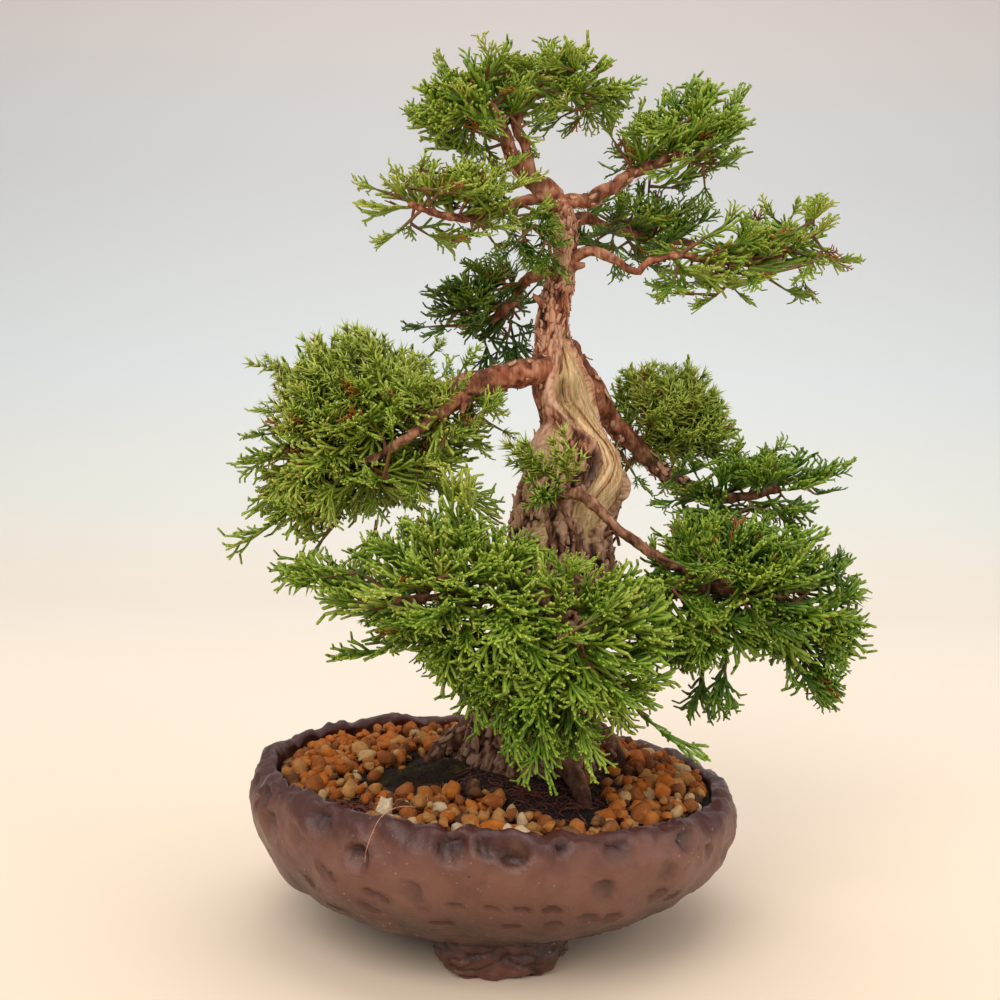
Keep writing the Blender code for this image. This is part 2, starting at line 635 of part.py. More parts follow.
def main():
    noise.seed_set(NOISE_SEED)
    clear_scene()
    parts = new_collection("juniper_bonsai")
    helpers = new_collection("cutters_and_limbs")
    axis = bpy.data.objects.new("pot_axis", None)
    parts.objects.link(axis)
    materials = make_materials()

    make_pot(parts, helpers, materials["fired_clay"])
    make_screen(parts, materials["screen_plastic"])
    make_clip(parts, materials["clip_wire"])
    make_tree(parts, helpers, materials["bark"])

    clearances = {name: make_limb("clear_" + name, points, helpers, grow=GAP)
                  for name, points in LIMBS.items()}
    trunk_clearance = make_trunk("clear_trunk", helpers, grow=GAP)
    make_helper(trunk_clearance)
    roots = [limb for name, limb in clearances.items() if name.startswith("root")]
    make_soil(parts, [make_screen_pocket(helpers), trunk_clearance, *roots], materials["soil"])
    make_stones(parts, roots, materials["stones"])
    make_moss(parts, [clearances["root_left"], trunk_clearance], materials["moss"])

    trunk_points = [(x, y, z, max(a, b)) for x, y, z, a, b in TRUNK]
    keep_clear = {}
    for name, clumps in PADS.items():
        near = [clearances[limb] for limb, points in LIMBS.items() if reaches(points, clumps)]
        if reaches(trunk_points, clumps):
            near.append(trunk_clearance)
        for earlier, others in list(PADS.items())[:list(PADS).index(name)]:
            if not clumps_meet(clumps, others):
                continue
            if earlier not in keep_clear:
                keep_clear[earlier] = make_skin("clear_" + earlier, others, helpers, PAD_GAP)
                make_helper(keep_clear[earlier])
            near.append(keep_clear[earlier])
        make_pad(name, clumps, parts, near, materials["leaves"])

    axis.location = (POT_AXIS_X * MM, POT_AXIS_Y * MM, 0)


main()
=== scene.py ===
# %% [markdown]
# # A juniper bonsai in a hand-pinched pot
#
# This lesson builds the looks of a small potted tree around its CAD frame: a pot of unglazed
# stoneware, a topping of loose fired-clay stones, a twisted trunk with a strip of dead wood,
# and some four thousand leafy sprays. Each cell makes one thing and prints what it made.
#
# The frame gives every size and place. Lengths below are millimetres from the pot's axis.

# %% Load the frame
import json
import math
import random

import bmesh
import bpy
import numpy as np
from mathutils import Matrix, Vector, noise
from mathutils.bvhtree import BVHTree

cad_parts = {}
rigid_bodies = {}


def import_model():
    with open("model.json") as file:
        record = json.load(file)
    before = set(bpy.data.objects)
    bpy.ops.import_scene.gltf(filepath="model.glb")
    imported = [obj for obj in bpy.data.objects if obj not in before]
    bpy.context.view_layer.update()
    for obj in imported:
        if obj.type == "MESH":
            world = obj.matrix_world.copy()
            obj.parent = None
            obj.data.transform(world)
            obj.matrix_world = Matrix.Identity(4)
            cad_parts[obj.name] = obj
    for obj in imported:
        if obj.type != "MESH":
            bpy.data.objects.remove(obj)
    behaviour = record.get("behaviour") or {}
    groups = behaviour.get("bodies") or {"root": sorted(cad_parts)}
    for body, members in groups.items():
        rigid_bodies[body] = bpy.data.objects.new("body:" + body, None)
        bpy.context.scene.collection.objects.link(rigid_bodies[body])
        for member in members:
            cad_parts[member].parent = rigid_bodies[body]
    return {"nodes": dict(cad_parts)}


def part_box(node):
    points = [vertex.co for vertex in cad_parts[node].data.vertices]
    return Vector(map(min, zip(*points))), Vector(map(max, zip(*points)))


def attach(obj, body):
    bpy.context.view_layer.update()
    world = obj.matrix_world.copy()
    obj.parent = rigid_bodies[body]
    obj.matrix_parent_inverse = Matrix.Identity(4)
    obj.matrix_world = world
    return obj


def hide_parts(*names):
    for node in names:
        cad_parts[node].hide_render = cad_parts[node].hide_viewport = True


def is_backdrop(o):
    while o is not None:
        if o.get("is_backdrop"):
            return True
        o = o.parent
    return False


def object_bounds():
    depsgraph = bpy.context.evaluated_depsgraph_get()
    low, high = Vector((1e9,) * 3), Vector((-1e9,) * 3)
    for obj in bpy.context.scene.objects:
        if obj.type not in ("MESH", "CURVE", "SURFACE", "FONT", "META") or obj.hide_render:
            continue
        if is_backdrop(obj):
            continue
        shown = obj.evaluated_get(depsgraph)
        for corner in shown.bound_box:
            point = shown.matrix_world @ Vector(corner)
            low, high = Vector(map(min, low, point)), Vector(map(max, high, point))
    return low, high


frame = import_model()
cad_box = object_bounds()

MM = 0.001
SEED = 7
noise.seed_set(SEED)
screen_low, screen_high = (Vector(corner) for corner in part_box("drain_screen"))
AXIS = (screen_low + screen_high) / 2
AXIS.z = 0.0
AXIS_MM = np.array(AXIS) / MM
print("pot axis at", [round(value, 4) for value in AXIS])

# %% [markdown]
# ## Small helpers
#
# Colours are easier to think of as the eight-bit numbers of a paint chart, while a shader
# wants them linear, so one helper converts. Another turns a list of points in millimetres
# into a mesh that already stands in its place, because every finished object stays at the
# origin, unturned and unscaled.

# %% Colour and mesh helpers


def rgb(red, green, blue):
    """A linear colour from eight-bit sRGB numbers."""
    linear = []
    for value in (red, green, blue):
        value /= 255
        linear.append(value / 12.92 if value < 0.04045 else ((value + 0.055) / 1.055) ** 2.4)
    return (*linear, 1.0)


def mesh_object(name, points, faces, edges=()):
    """An object from points in millimetres from the pot's axis."""
    mesh = bpy.data.meshes.new(name)
    places = (np.asarray(points, float) + AXIS_MM) * MM
    mesh.from_pydata(places.tolist(), list(edges), list(faces))
    obj = bpy.data.objects.new(name, mesh)
    bpy.context.scene.collection.objects.link(obj)
    return obj


def set_attribute(mesh, name, kind, values):
    """Stores one value for each point: FLOAT, INT or FLOAT_VECTOR."""
    field = {"FLOAT": "value", "INT": "value", "FLOAT_VECTOR": "vector"}[kind]
    attribute = mesh.attributes.new(name, kind, "POINT")
    attribute.data.foreach_set(field, np.asarray(values).ravel())


def smooth_path(points, step):
    """Points about step apart on a Catmull-Rom curve, with any number of values each."""
    points = np.asarray(points, float)
    ends = np.vstack([2 * points[0] - points[1], points, 2 * points[-1] - points[-2]])
    path = []
    for before, start, end, after in zip(ends, ends[1:], ends[2:], ends[3:]):
        pieces = max(1, round(float(np.linalg.norm((end - start)[:3])) / step))
        for t in np.arange(pieces) / pieces:
            path.append(0.5 * (2 * start + (end - before) * t
                               + (2 * before - 5 * start + 4 * end - after) * t**2
                               + (3 * start - before - 3 * end + after) * t**3))
    path.append(points[-1])
    return np.array(path)


def rough(points, scale, stretch=(1, 1, 1), shift=0.0):
    """Smooth noise from about -1 to 1 at each point, with lumps of about scale millimetres."""
    scaled = np.asarray(points) / scale / np.asarray(stretch) + shift
    return np.array([noise.noise(Vector(place)) for place in scaled])


def ring_faces(rows, around, closed=False):
    """Quads between rows of points round an axis; closed joins the last row to the first."""
    index = np.arange(rows * around).reshape(rows, around)
    upper = np.roll(index, -1, axis=0) if closed else index[1:]
    lower = index if closed else index[:-1]
    quads = np.stack([lower, upper, np.roll(upper, -1, axis=1), np.roll(lower, -1, axis=1)], -1)
    return quads.reshape(-1, 4).tolist()


def shade(obj, sharp_degrees=180):
    """Smooth shading, with sharp edges where the faces turn by more than sharp_degrees."""
    obj.data.shade_smooth()
    if sharp_degrees < 180:
        obj.data.set_sharp_from_angle(angle=math.radians(sharp_degrees))


def outward(obj):
    """Turns a closed mesh's faces outwards."""
    bm = bmesh.new()
    bm.from_mesh(obj.data)
    bmesh.ops.recalc_face_normals(bm, faces=bm.faces)
    bm.to_mesh(obj.data)
    bm.free()


def triangles(obj):
    """How many triangles the object's faces make."""
    return sum(len(face.vertices) - 2 for face in obj.data.polygons)


# %% [markdown]
# ## Paint: three shader groups that every material shares
#
# Materials below are procedural, so nothing is unwrapped. Most need the same three things:
# "blotches", soft patches between 0 and 1 to mix two colours with; "grain", a height made of a
# coarse and a fine noise, for a Bump node; and "specks", small dots of grit. They are groups
# that give out values only, and each material joins them to its own Principled shader.

# %% Node helpers and groups


def node(tree, kind, values=None, **settings):
    """A new node; each value is a constant or a socket to link from."""
    made = tree.nodes.new(kind)
    for key, value in settings.items():
        setattr(made, key, value)
    for socket, value in (values or {}).items():
        if isinstance(value, bpy.types.NodeSocket):
            tree.links.new(value, made.inputs[socket])
        else:
            made.inputs[socket].default_value = value
    return made


def group(tree, shared, values):
    """The output of a shared shader group."""
    return node(tree, "ShaderNodeGroup", values, node_tree=shared).outputs[0]


def colour_ramp(tree, factor, stops):
    """Colours between positions: a list of (position, (red, green, blue))."""
    made = tree.nodes.new("ShaderNodeValToRGB")
    elements = made.color_ramp.elements
    while len(elements) > 1:
        elements.remove(elements[-1])
    elements[0].position = stops[0][0]
    elements[0].color = rgb(*stops[0][1])
    for position, colour in stops[1:]:
        elements.new(position).color = rgb(*colour)
    tree.links.new(factor, made.inputs["Fac"])
    return made.outputs["Color"]


def mixed(tree, factor, first, second, blend="MIX"):
    """Two colours mixed; each is a socket or an rgb tuple, and factor a value or a socket."""
    values = {"Factor": factor, "A": first, "B": second}
    made = node(tree, "ShaderNodeMix", values, data_type="RGBA", blend_type=blend)
    return made.outputs["Result"]


def between(tree, value, low, high, start=0.0, end=1.0):
    """The value carried over from low and high to start and end, and kept between them."""
    made = node(tree, "ShaderNodeMapRange", {"Value": value, "From Min": low, "From Max": high,
                                             "To Min": start, "To Max": end})
    return made.outputs[0]


def times(tree, first, second, operation="MULTIPLY"):
    """The product of two values, or what another operation makes of them."""
    return node(tree, "ShaderNodeMath", {0: first, 1: second}, operation=operation).outputs[0]


def stored(tree, name):
    """A value that the mesh carries at each point."""
    return node(tree, "ShaderNodeAttribute", attribute_name=name).outputs["Fac"]


def new_group(name, inputs, output):
    """An empty shader group with named inputs and one output, its start and its end."""
    shared = bpy.data.node_groups.new(name, "ShaderNodeTree")
    for label, kind, value in inputs:
        socket = shared.interface.new_socket(label, in_out="INPUT", socket_type=kind)
        if value is not None:
            socket.default_value = value
    shared.interface.new_socket(output, in_out="OUTPUT", socket_type="NodeSocketFloat")
    return shared, shared.nodes.new("NodeGroupInput"), shared.nodes.new("NodeGroupOutput")


def make_blotches():
    """Soft patches: 0 where the noise is under Low, 1 where it is over High."""
    shared, start, end = new_group("blotches", [
        ("Place", "NodeSocketVector", None), ("Scale", "NodeSocketFloat", 60.0),
        ("Low", "NodeSocketFloat", 0.4), ("High", "NodeSocketFloat", 0.6)], "Mask")
    cloud = node(shared, "ShaderNodeTexNoise", {"Vector": start.outputs["Place"],
                                                "Scale": start.outputs["Scale"], "Detail": 4.0,
                                                "Roughness": 0.6})
    mask = between(shared, cloud.outputs[0], start.outputs["Low"], start.outputs["High"])
    shared.links.new(mask, end.inputs[0])
    return shared


def make_grain():
    """A height: coarse noise and a share of fine noise."""
    shared, start, end = new_group("grain", [
        ("Place", "NodeSocketVector", None), ("Coarse", "NodeSocketFloat", 300.0),
        ("Fine", "NodeSocketFloat", 1500.0), ("Fine Share", "NodeSocketFloat", 0.4)], "Height")
    coarse = node(shared, "ShaderNodeTexNoise", {"Vector": start.outputs["Place"],
                                                 "Scale": start.outputs["Coarse"], "Detail": 3.0})
    fine = node(shared, "ShaderNodeTexNoise", {"Vector": start.outputs["Place"],
                                               "Scale": start.outputs["Fine"], "Detail": 4.0,
                                               "Roughness": 0.7})
    part = times(shared, fine.outputs[0], start.outputs["Fine Share"])
    shared.links.new(times(shared, coarse.outputs[0], part, "ADD"), end.inputs[0])
    return shared


def make_specks():
    """Dots of grit, which lie in some places only."""
    shared, start, end = new_group("specks", [
        ("Place", "NodeSocketVector", None), ("Scale", "NodeSocketFloat", 300.0),
        ("Size", "NodeSocketFloat", 0.2)], "Mask")
    cells = node(shared, "ShaderNodeTexVoronoi", {"Vector": start.outputs["Place"],
                                                  "Scale": start.outputs["Scale"]})
    cut = between(shared, cells.outputs["Distance"], start.outputs["Size"], 0.0)
    few = node(shared, "ShaderNodeTexNoise", {"Vector": start.outputs["Place"], "Scale": 55.0,
                                              "Detail": 3.0})
    patch = between(shared, few.outputs[0], 0.5, 0.62)
    shared.links.new(times(shared, cut, patch), end.inputs[0])
    return shared


BLOTCHES = make_blotches()
GRAIN = make_grain()
SPECKS = make_specks()


def new_material(name, roughness):
    """A material, its tree, its shader and its Object coordinates."""
    material = bpy.data.materials.new(name)
    material.use_nodes = True
    tree = material.node_tree
    shader = tree.nodes["Principled BSDF"]
    shader.inputs["Roughness"].default_value = roughness
    place = tree.nodes.new("ShaderNodeTexCoord").outputs["Object"]
    return material, tree, shader, place


def bump(tree, shader, height, distance, strength):
    """Joins a height to the shader's normal; the distance is in metres."""
    made = node(tree, "ShaderNodeBump", {"Height": height, "Distance": distance,
                                         "Strength": strength})
    tree.links.new(made.outputs["Normal"], shader.inputs["Normal"])


def grain_bump(tree, shader, place, scales, distance, strength, fine_share=0.4):
    """A bump of the two noises of the grain group; scales are the coarse and the fine one."""
    grain = group(tree, GRAIN, {"Place": place, "Coarse": scales[0], "Fine": scales[1],
                                "Fine Share": fine_share})
    bump(tree, shader, grain, distance, strength)


print("shader groups:", BLOTCHES.name, GRAIN.name, SPECKS.name)

# %% [markdown]
# ## Camera, floor and light
#
# The tree stands before a pale sweep, a floor that curves up into a wall, and is seen from
# a little above the pot's rim with a normal lens. The light is large and soft, from the front
# and above, so that shadows under the leaves stay open. The plain "Standard" transform keeps
# the greens and the orange stones as strong as their paint-chart numbers.

# %% Camera

CAMERA_HEIGHT = 156.0
CAMERA_DISTANCE = 402.0
CAMERA_PITCH = math.radians(2.17)
CAMERA_ROLL = math.radians(1.15)
CAMERA_LENS = 42.96

camera_data = bpy.data.cameras.new("camera")
camera_data.sensor_width = 36.0
camera_data.lens = CAMERA_LENS
camera = bpy.data.objects.new("camera", camera_data)
bpy.context.scene.collection.objects.link(camera)
camera.matrix_world = (
    Matrix.Translation(AXIS + Vector((0, -CAMERA_DISTANCE, CAMERA_HEIGHT)) * MM)
    @ Matrix.Rotation(math.pi / 2 - CAMERA_PITCH, 4, "X")
    @ Matrix.Rotation(CAMERA_ROLL, 4, "Z")
)
bpy.context.scene.camera = camera
bpy.context.scene.view_settings.view_transform = "Standard"
print("camera", round(CAMERA_DISTANCE), "mm from the pot's axis")

# %% Floor and backdrop in one sweep

SWEEP_WIDTH = 3.6
SWEEP_FRONT = -1.6
SWEEP_BACK = 1.5
SWEEP_TOP = 2.2
SWEEP_BEND = 0.7
SWEEP_BEND_STEPS = 24


def sweep_outline():
    """The side view of the sweep: floor, quarter bend, wall."""
    outline = [(SWEEP_FRONT, 0.0)]
    for step in range(SWEEP_BEND_STEPS + 1):
        angle = math.pi / 2 * step / SWEEP_BEND_STEPS
        outline.append((SWEEP_BACK - SWEEP_BEND + SWEEP_BEND * math.sin(angle),
                        SWEEP_BEND * (1 - math.cos(angle))))
    outline.append((SWEEP_BACK, SWEEP_TOP))
    return outline


def make_sweep():
    """The sweep as one strip of quads."""
    outline = sweep_outline()
    bm = bmesh.new()
    rows = [[bm.verts.new((side * SWEEP_WIDTH / 2, y, z)) for side in (-1, 1)]
            for y, z in outline]
    for lower, upper in zip(rows, rows[1:]):
        bm.faces.new((lower[0], lower[1], upper[1], upper[0]))
    mesh = bpy.data.meshes.new("sweep")
    bm.to_mesh(mesh)
    bm.free()
    sweep = bpy.data.objects.new("sweep", mesh)
    bpy.context.scene.collection.objects.link(sweep)
    shade(sweep)
    return sweep


def sweep_material():
    """Warm and pale below, cooler and a little darker high on the wall."""
    material, tree, shader, place = new_material("pale_sweep", 0.9)
    shader.inputs["Specular IOR Level"].default_value = 0.1
    split = node(tree, "ShaderNodeSeparateXYZ", {0: place})
    height = between(tree, split.outputs["Z"], 0.0, SWEEP_TOP)
    colour = colour_ramp(tree, height, [
        (0.0, (246, 236, 222)), (0.04, (236, 236, 229)), (0.12, (223, 230, 232)),
        (0.26, (211, 215, 219)), (0.42, (212, 206, 205)), (1.0, (204, 196, 196))])
    near = between(tree, split.outputs["Y"], 0.7, -0.15)
    colour = mixed(tree, near, colour, rgb(250, 238, 226), "MULTIPLY")
    tree.links.new(colour, shader.inputs["Base Color"])
    return material


sweep = make_sweep()
sweep.data.materials.append(sweep_material())
sweep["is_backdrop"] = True
print("sweep", len(sweep.data.polygons), "faces")

# %% Soft light

LIGHTS = {
    # name: place in metres, size in metres, power in watts, colour
    "front_window": ((-0.5, -1.3, 1.3), 1.3, 21.0, (255, 250, 242)),
    "right_fill": ((1.4, -0.7, 0.8), 1.2, 7.0, (255, 246, 236)),
    "top_panel": ((0.1, 0.2, 1.6), 1.4, 11.0, (255, 252, 250)),
}

for light_name, (place, size, power, colour) in LIGHTS.items():
    light = bpy.data.lights.new(light_name, "AREA")
    light.shape = "SQUARE"
    light.size = size
    light.energy = power
    light.color = rgb(*colour)[:3]
    lamp = bpy.data.objects.new(light_name, light)
    lamp.location = Vector(place)
    lamp.rotation_euler = (Vector((0, 0, 0.14)) - Vector(place)).to_track_quat("-Z", "Y").to_euler()
    bpy.context.scene.collection.objects.link(lamp)

world = bpy.data.worlds.new("soft_room")
bpy.context.scene.world = world
world.use_nodes = True
world.node_tree.nodes["Background"].inputs["Color"].default_value = rgb(240, 240, 242)
world.node_tree.nodes["Background"].inputs["Strength"].default_value = 0.55
print(len(LIGHTS), "area lights and an even room light")

# %% [markdown]
# ## Two Geometry Nodes trees that make what repeats
#
# Shoots, needles, stones, flakes of bark and moss are all one idea: a small shape set down
# many times, each time turned, sized and picked at random. Copying meshes by hand would do,
# but a tree says it once. "place_shapes" reads four attributes of each point: aim and side
# turn the shape's X and Z axes, size scales it, and kind picks it from a collection.
#
# Twigs and branches are the other idea: a path with a radius that becomes a tube. "tubes"
# does that, and pushes the skin in and out with noise, so that no branch is a smooth pipe.

# %% The trees


def new_tree(name, inputs):
    """An empty geometry tree with named inputs: label -> (socket type, default or None)."""
    tree = bpy.data.node_groups.new(name, "GeometryNodeTree")
    face = tree.interface
    face.new_socket("Geometry", in_out="INPUT", socket_type="NodeSocketGeometry")
    for label, (kind, value) in inputs.items():
        socket = face.new_socket(label, in_out="INPUT", socket_type=kind)
        if value is not None:
            socket.default_value = value
    face.new_socket("Geometry", in_out="OUTPUT", socket_type="NodeSocketGeometry")
    start = tree.nodes.new("NodeGroupInput")
    end = tree.nodes.new("NodeGroupOutput")
    return tree, start, end


def read_attribute(tree, name, kind):
    """The named attribute of each point."""
    made = node(tree, "GeometryNodeInputNamedAttribute", {"Name": name}, data_type=kind)
    return made.outputs["Attribute"]


def paint_and_end(tree, geometry, start, end):
    """The last steps of both trees: a real mesh, and the material on it."""
    real = node(tree, "GeometryNodeRealizeInstances", {"Geometry": geometry})
    paint = node(tree, "GeometryNodeSetMaterial", {
        "Geometry": real.outputs["Geometry"], "Material": start.outputs["Material"]})
    tree.links.new(paint.outputs["Geometry"], end.inputs["Geometry"])


def make_place_shapes():
    """The tree that sets shapes down on points."""
    tree, start, end = new_tree("place_shapes", {
        "Shapes": ("NodeSocketCollection", None),
        "Material": ("NodeSocketMaterial", None),
    })
    shapes = node(tree, "GeometryNodeCollectionInfo", {
        "Collection": start.outputs["Shapes"], "Separate Children": True,
        "Reset Children": True})
    aim = node(tree, "FunctionNodeAlignRotationToVector", {
        "Vector": read_attribute(tree, "aim", "FLOAT_VECTOR")}, axis="X")
    side = node(tree, "FunctionNodeAlignRotationToVector", {
        "Rotation": aim.outputs["Rotation"],
        "Vector": read_attribute(tree, "side", "FLOAT_VECTOR")}, axis="Z", pivot_axis="X")
    place = node(tree, "GeometryNodeInstanceOnPoints", {
        "Points": start.outputs["Geometry"], "Instance": shapes.outputs["Instances"],
        "Pick Instance": True, "Instance Index": read_attribute(tree, "kind", "INT"),
        "Rotation": side.outputs["Rotation"], "Scale": read_attribute(tree, "size", "FLOAT")})
    paint_and_end(tree, place.outputs["Instances"], start, end)
    return tree


def make_tubes():
    """The tree that makes tubes of paths and shakes their skin."""
    tree, start, end = new_tree("tubes", {
        "Sides": ("NodeSocketInt", 6),
        "Relief": ("NodeSocketFloat", 0.0),
        "Relief Scale": ("NodeSocketFloat", 400.0),
        "Material": ("NodeSocketMaterial", None),
    })
    curve = node(tree, "GeometryNodeMeshToCurve", {"Mesh": start.outputs["Geometry"]})
    circle = node(tree, "GeometryNodeCurvePrimitiveCircle", {
        "Resolution": start.outputs["Sides"], "Radius": 1.0})
    tube = node(tree, "GeometryNodeCurveToMesh", {
        "Curve": curve.outputs["Curve"], "Profile Curve": circle.outputs["Curve"],
        "Scale": read_attribute(tree, "size", "FLOAT"), "Fill Caps": True})
    lumps = node(tree, "ShaderNodeTexNoise", {
        "Scale": start.outputs["Relief Scale"], "Detail": 3.0}).outputs[0]
    keep = node(tree, "GeometryNodeStoreNamedAttribute", {
        "Geometry": tube.outputs["Mesh"], "Name": "relief", "Value": lumps}, data_type="FLOAT")
    height = times(tree, times(tree, lumps, 0.5, "SUBTRACT"), start.outputs["Relief"])
    normal = node(tree, "GeometryNodeInputNormal").outputs[0]
    push = node(tree, "ShaderNodeVectorMath", {0: normal, "Scale": height}, operation="SCALE")
    move = node(tree, "GeometryNodeSetPosition", {
        "Geometry": keep.outputs["Geometry"], "Offset": push.outputs["Vector"]})
    paint_and_end(tree, move.outputs["Geometry"], start, end)
    return tree


def grown(obj, tree, values, name):
    """Runs a tree on obj and returns a plain mesh object in its place."""
    modifier = obj.modifiers.new(tree.name, "NODES")
    modifier.node_group = tree
    for item in tree.interface.items_tree:
        if item.in_out == "INPUT" and item.name in values:
            modifier[item.identifier] = values[item.name]
    bpy.context.view_layer.update()
    graph = bpy.context.evaluated_depsgraph_get()
    mesh = bpy.data.meshes.new_from_object(obj.evaluated_get(graph))
    mesh.name = name
    bpy.data.objects.remove(obj)
    made = bpy.data.objects.new(name, mesh)
    bpy.context.scene.collection.objects.link(made)
    mesh.shade_smooth()
    return made


def unit(vectors):
    """The same directions with length 1."""
    vectors = np.asarray(vectors, float)
    return vectors / np.maximum(np.linalg.norm(vectors, axis=-1, keepdims=True), 1e-9)


def scattered(name, places, aims, sides, sizes, kinds, shapes, material, extras=None):
    """Shapes set down at places, in millimetres, by the place_shapes tree."""
    cloud = mesh_object(name + "_points", places, [])
    set_attribute(cloud.data, "aim", "FLOAT_VECTOR", unit(aims))
    set_attribute(cloud.data, "side", "FLOAT_VECTOR", unit(sides))
    set_attribute(cloud.data, "size", "FLOAT", np.asarray(sizes, float) * MM)
    set_attribute(cloud.data, "kind", "INT", np.asarray(kinds, np.int32))
    for label, values in (extras or {}).items():
        set_attribute(cloud.data, label, "FLOAT", values)
    return grown(cloud, PLACE_SHAPES, {"Shapes": shapes, "Material": material}, name)


PLACE_SHAPES = make_place_shapes()
TUBES = make_tubes()
print("trees:", PLACE_SHAPES.name, "and", TUBES.name)

# %% [markdown]
# ## The pot
#
# The real pot is one lump of dark stoneware, pinched thin between thumb and fingers, dented
# with the ends of sticks and pebbles, then fired without glaze. It could be a lathe with a
# bump map, but its outline is visibly untrue, so every press is real geometry.
#
# The wall starts as a profile swept round the axis in small steps. The rim tilts and ripples,
# the wall goes in and out as in the frame, and then each dent moves the surface along its
# normal: round ones with a raised lip, long shallow slits near the foot, and small random ones.

# %% The wall's true shape, as in the frame

POT_RADIUS = 81.0
RIM_HEIGHT = 51.5
RIM_TILT = 4.0
RIM_HIGH_SIDE = math.radians(195)
POT_BOTTOM = 9.0
FLOOR_THICKNESS = 7.0
WALL_THICKNESS = 7.5
DRAIN_RADIUS = 8.0
PINCH = 1.1
POT_AROUND = 360


def rim_rise(angle):
    """How far the rim stands above or below its mean height."""
    ripple = noise.noise(Vector((math.cos(angle) * 3, math.sin(angle) * 3, 7.0)))
    return RIM_TILT * math.cos(angle - RIM_HIGH_SIDE) + 1.4 * ripple


def pinch_at(angle, height):
    """How far the potter's fingers moved the wall out or in."""
    around = Vector((math.cos(angle), math.sin(angle), height / 60))
    return PINCH * noise.noise(around * 2.6) + 0.5 * PINCH * noise.noise(around * 6.5)


def pot_outline():
    """The wall cut open: over the rim, down the outside, in at the drain, up the inside."""
    belly = POT_RADIUS
    inside = belly - WALL_THICKNESS
    floor = POT_BOTTOM + FLOOR_THICKNESS
    outline = [
        (belly - 6.2, RIM_HEIGHT + 0.1), (belly - 3.0, RIM_HEIGHT - 0.9),
        (belly - 1.1, RIM_HEIGHT - 4.0), (belly, RIM_HEIGHT - 10.5), (belly - 1.6, 34),
        (belly - 5.5, 26.5), (belly - 12, 19.5), (belly - 22, 13.5), (belly - 36, POT_BOTTOM),
        (30, POT_BOTTOM), (DRAIN_RADIUS + 1.0, POT_BOTTOM), (DRAIN_RADIUS, POT_BOTTOM + 1.2),
        (DRAIN_RADIUS, floor - 1.2), (DRAIN_RADIUS + 1.0, floor), (30, floor),
        (inside - 26.5, floor + 1), (inside - 14.5, floor + 5.5), (inside - 6, floor + 13),
        (inside - 0.8, floor + 22), (inside, 45.5), (inside - 0.6, RIM_HEIGHT - 1.6),
        (belly - 6.2, RIM_HEIGHT + 0.1),
    ]
    path = smooth_path([(radius, height, 0.0) for radius, height in outline], 1.15)
    return path[:-1, :2]


outline = pot_outline()
print("pot outline", len(outline), "points by", POT_AROUND, "round the axis")

# %% The marks pressed into the clay

# Round dents on the visible side: angle in degrees, height, radius, depth, deeper towards
ROUND_DENTS = [
    (-129, 47.0, 4.6, 2.0, 80), (-118, 41.0, 3.9, 3.5, 60), (-98, 46.5, 4.9, 2.2, 120),
    (-91, 47.6, 3.6, 2.0, 200), (-86, 47.2, 4.9, 2.6, 260), (-76, 48.0, 2.9, 2.0, 90),
    (-64, 46.6, 4.9, 1.4, 100), (-67, 34.6, 4.6, 1.2, 40), (-107, 33.6, 4.3, 0.9, 0),
    (-150, 46.6, 3.6, 1.6, 30), (-146, 40.4, 4.6, 1.2, 80), (-52, 38.0, 4.0, 0.8, 10),
    (-45, 46.0, 4.6, 1.6, 150), (-38, 40.0, 3.4, 1.1, 60), (-136, 41.5, 3.4, 0.8, 10),
]
# Slits of a stick's edge: angle, height, half length, half width, depth, turn in degrees
SLITS = [
    (-127, 34.0, 4.4, 1.4, 1.2, -34), (-115, 30.6, 4.6, 1.2, 1.3, -20),
    (-118, 25.4, 3.4, 1.6, 1.1, -24), (-129, 21.5, 3.4, 1.5, 1.1, -30),
    (-90, 31.2, 3.0, 1.0, 0.9, 0), (-84, 30.9, 3.2, 1.1, 0.9, 0), (-77.5, 29.9, 3.2, 1.3, 1.1, 0),
    (-69, 26.6, 3.4, 1.6, 1.2, 6), (-63, 25.4, 3.4, 1.9, 1.2, 10),
    (-52, 30.0, 4.4, 1.6, 1.0, 22), (-101, 23.6, 3.8, 1.0, 1.0, -4), (-86, 25.0, 3.4, 1.0, 0.9, 0),
    (-76.5, 24.4, 3.4, 1.2, 0.9, 4), (-46, 27.5, 3.6, 1.3, 1.0, 22), (-97, 31.0, 3.4, 0.7, 0.7, 4),
    (-104, 28.0, 3.0, 0.7, 0.6, -4), (-135, 28.0, 3.6, 1.2, 1.1, -30),
]
# Thumb-nail notches over the rim: angle, half width, depth
RIM_NOTCHES = [
    (163, 3.4, 1.9), (152, 2.6, 1.6), (176, 3.2, 1.2), (-163, 3.6, 1.5), (-146, 2.6, 1.2),
    (-121, 3.4, 0.7), (-99, 2.8, 0.8), (-79, 3.4, 1.4), (-62, 2.6, 0.9), (-49, 3.4, 1.2),
    (-31, 3.2, 1.5), (-14, 3.0, 1.3), (10, 3.4, 1.2), (35, 3.2, 1.5), (62, 3.4, 1.2),
    (88, 3.4, 1.0), (112, 3.2, 1.4), (135, 3.0, 1.1),
]


def add_random_marks():
    """More dents and slits on the sides that the list leaves bare."""
    pick = random.Random(SEED)
    for step in range(19):
        angle = -30 + 240 * (step + pick.random()) / 19
        ROUND_DENTS.append((angle, pick.uniform(33, 47), pick.uniform(2.8, 4.8),
                            pick.uniform(0.6, 1.8), pick.uniform(0, 360)))
        SLITS.append((angle + pick.uniform(-6, 6), pick.uniform(21, 32), pick.uniform(2.8, 4.4),
                      pick.uniform(0.8, 1.6), pick.uniform(0.7, 1.2), pick.uniform(-25, 25)))


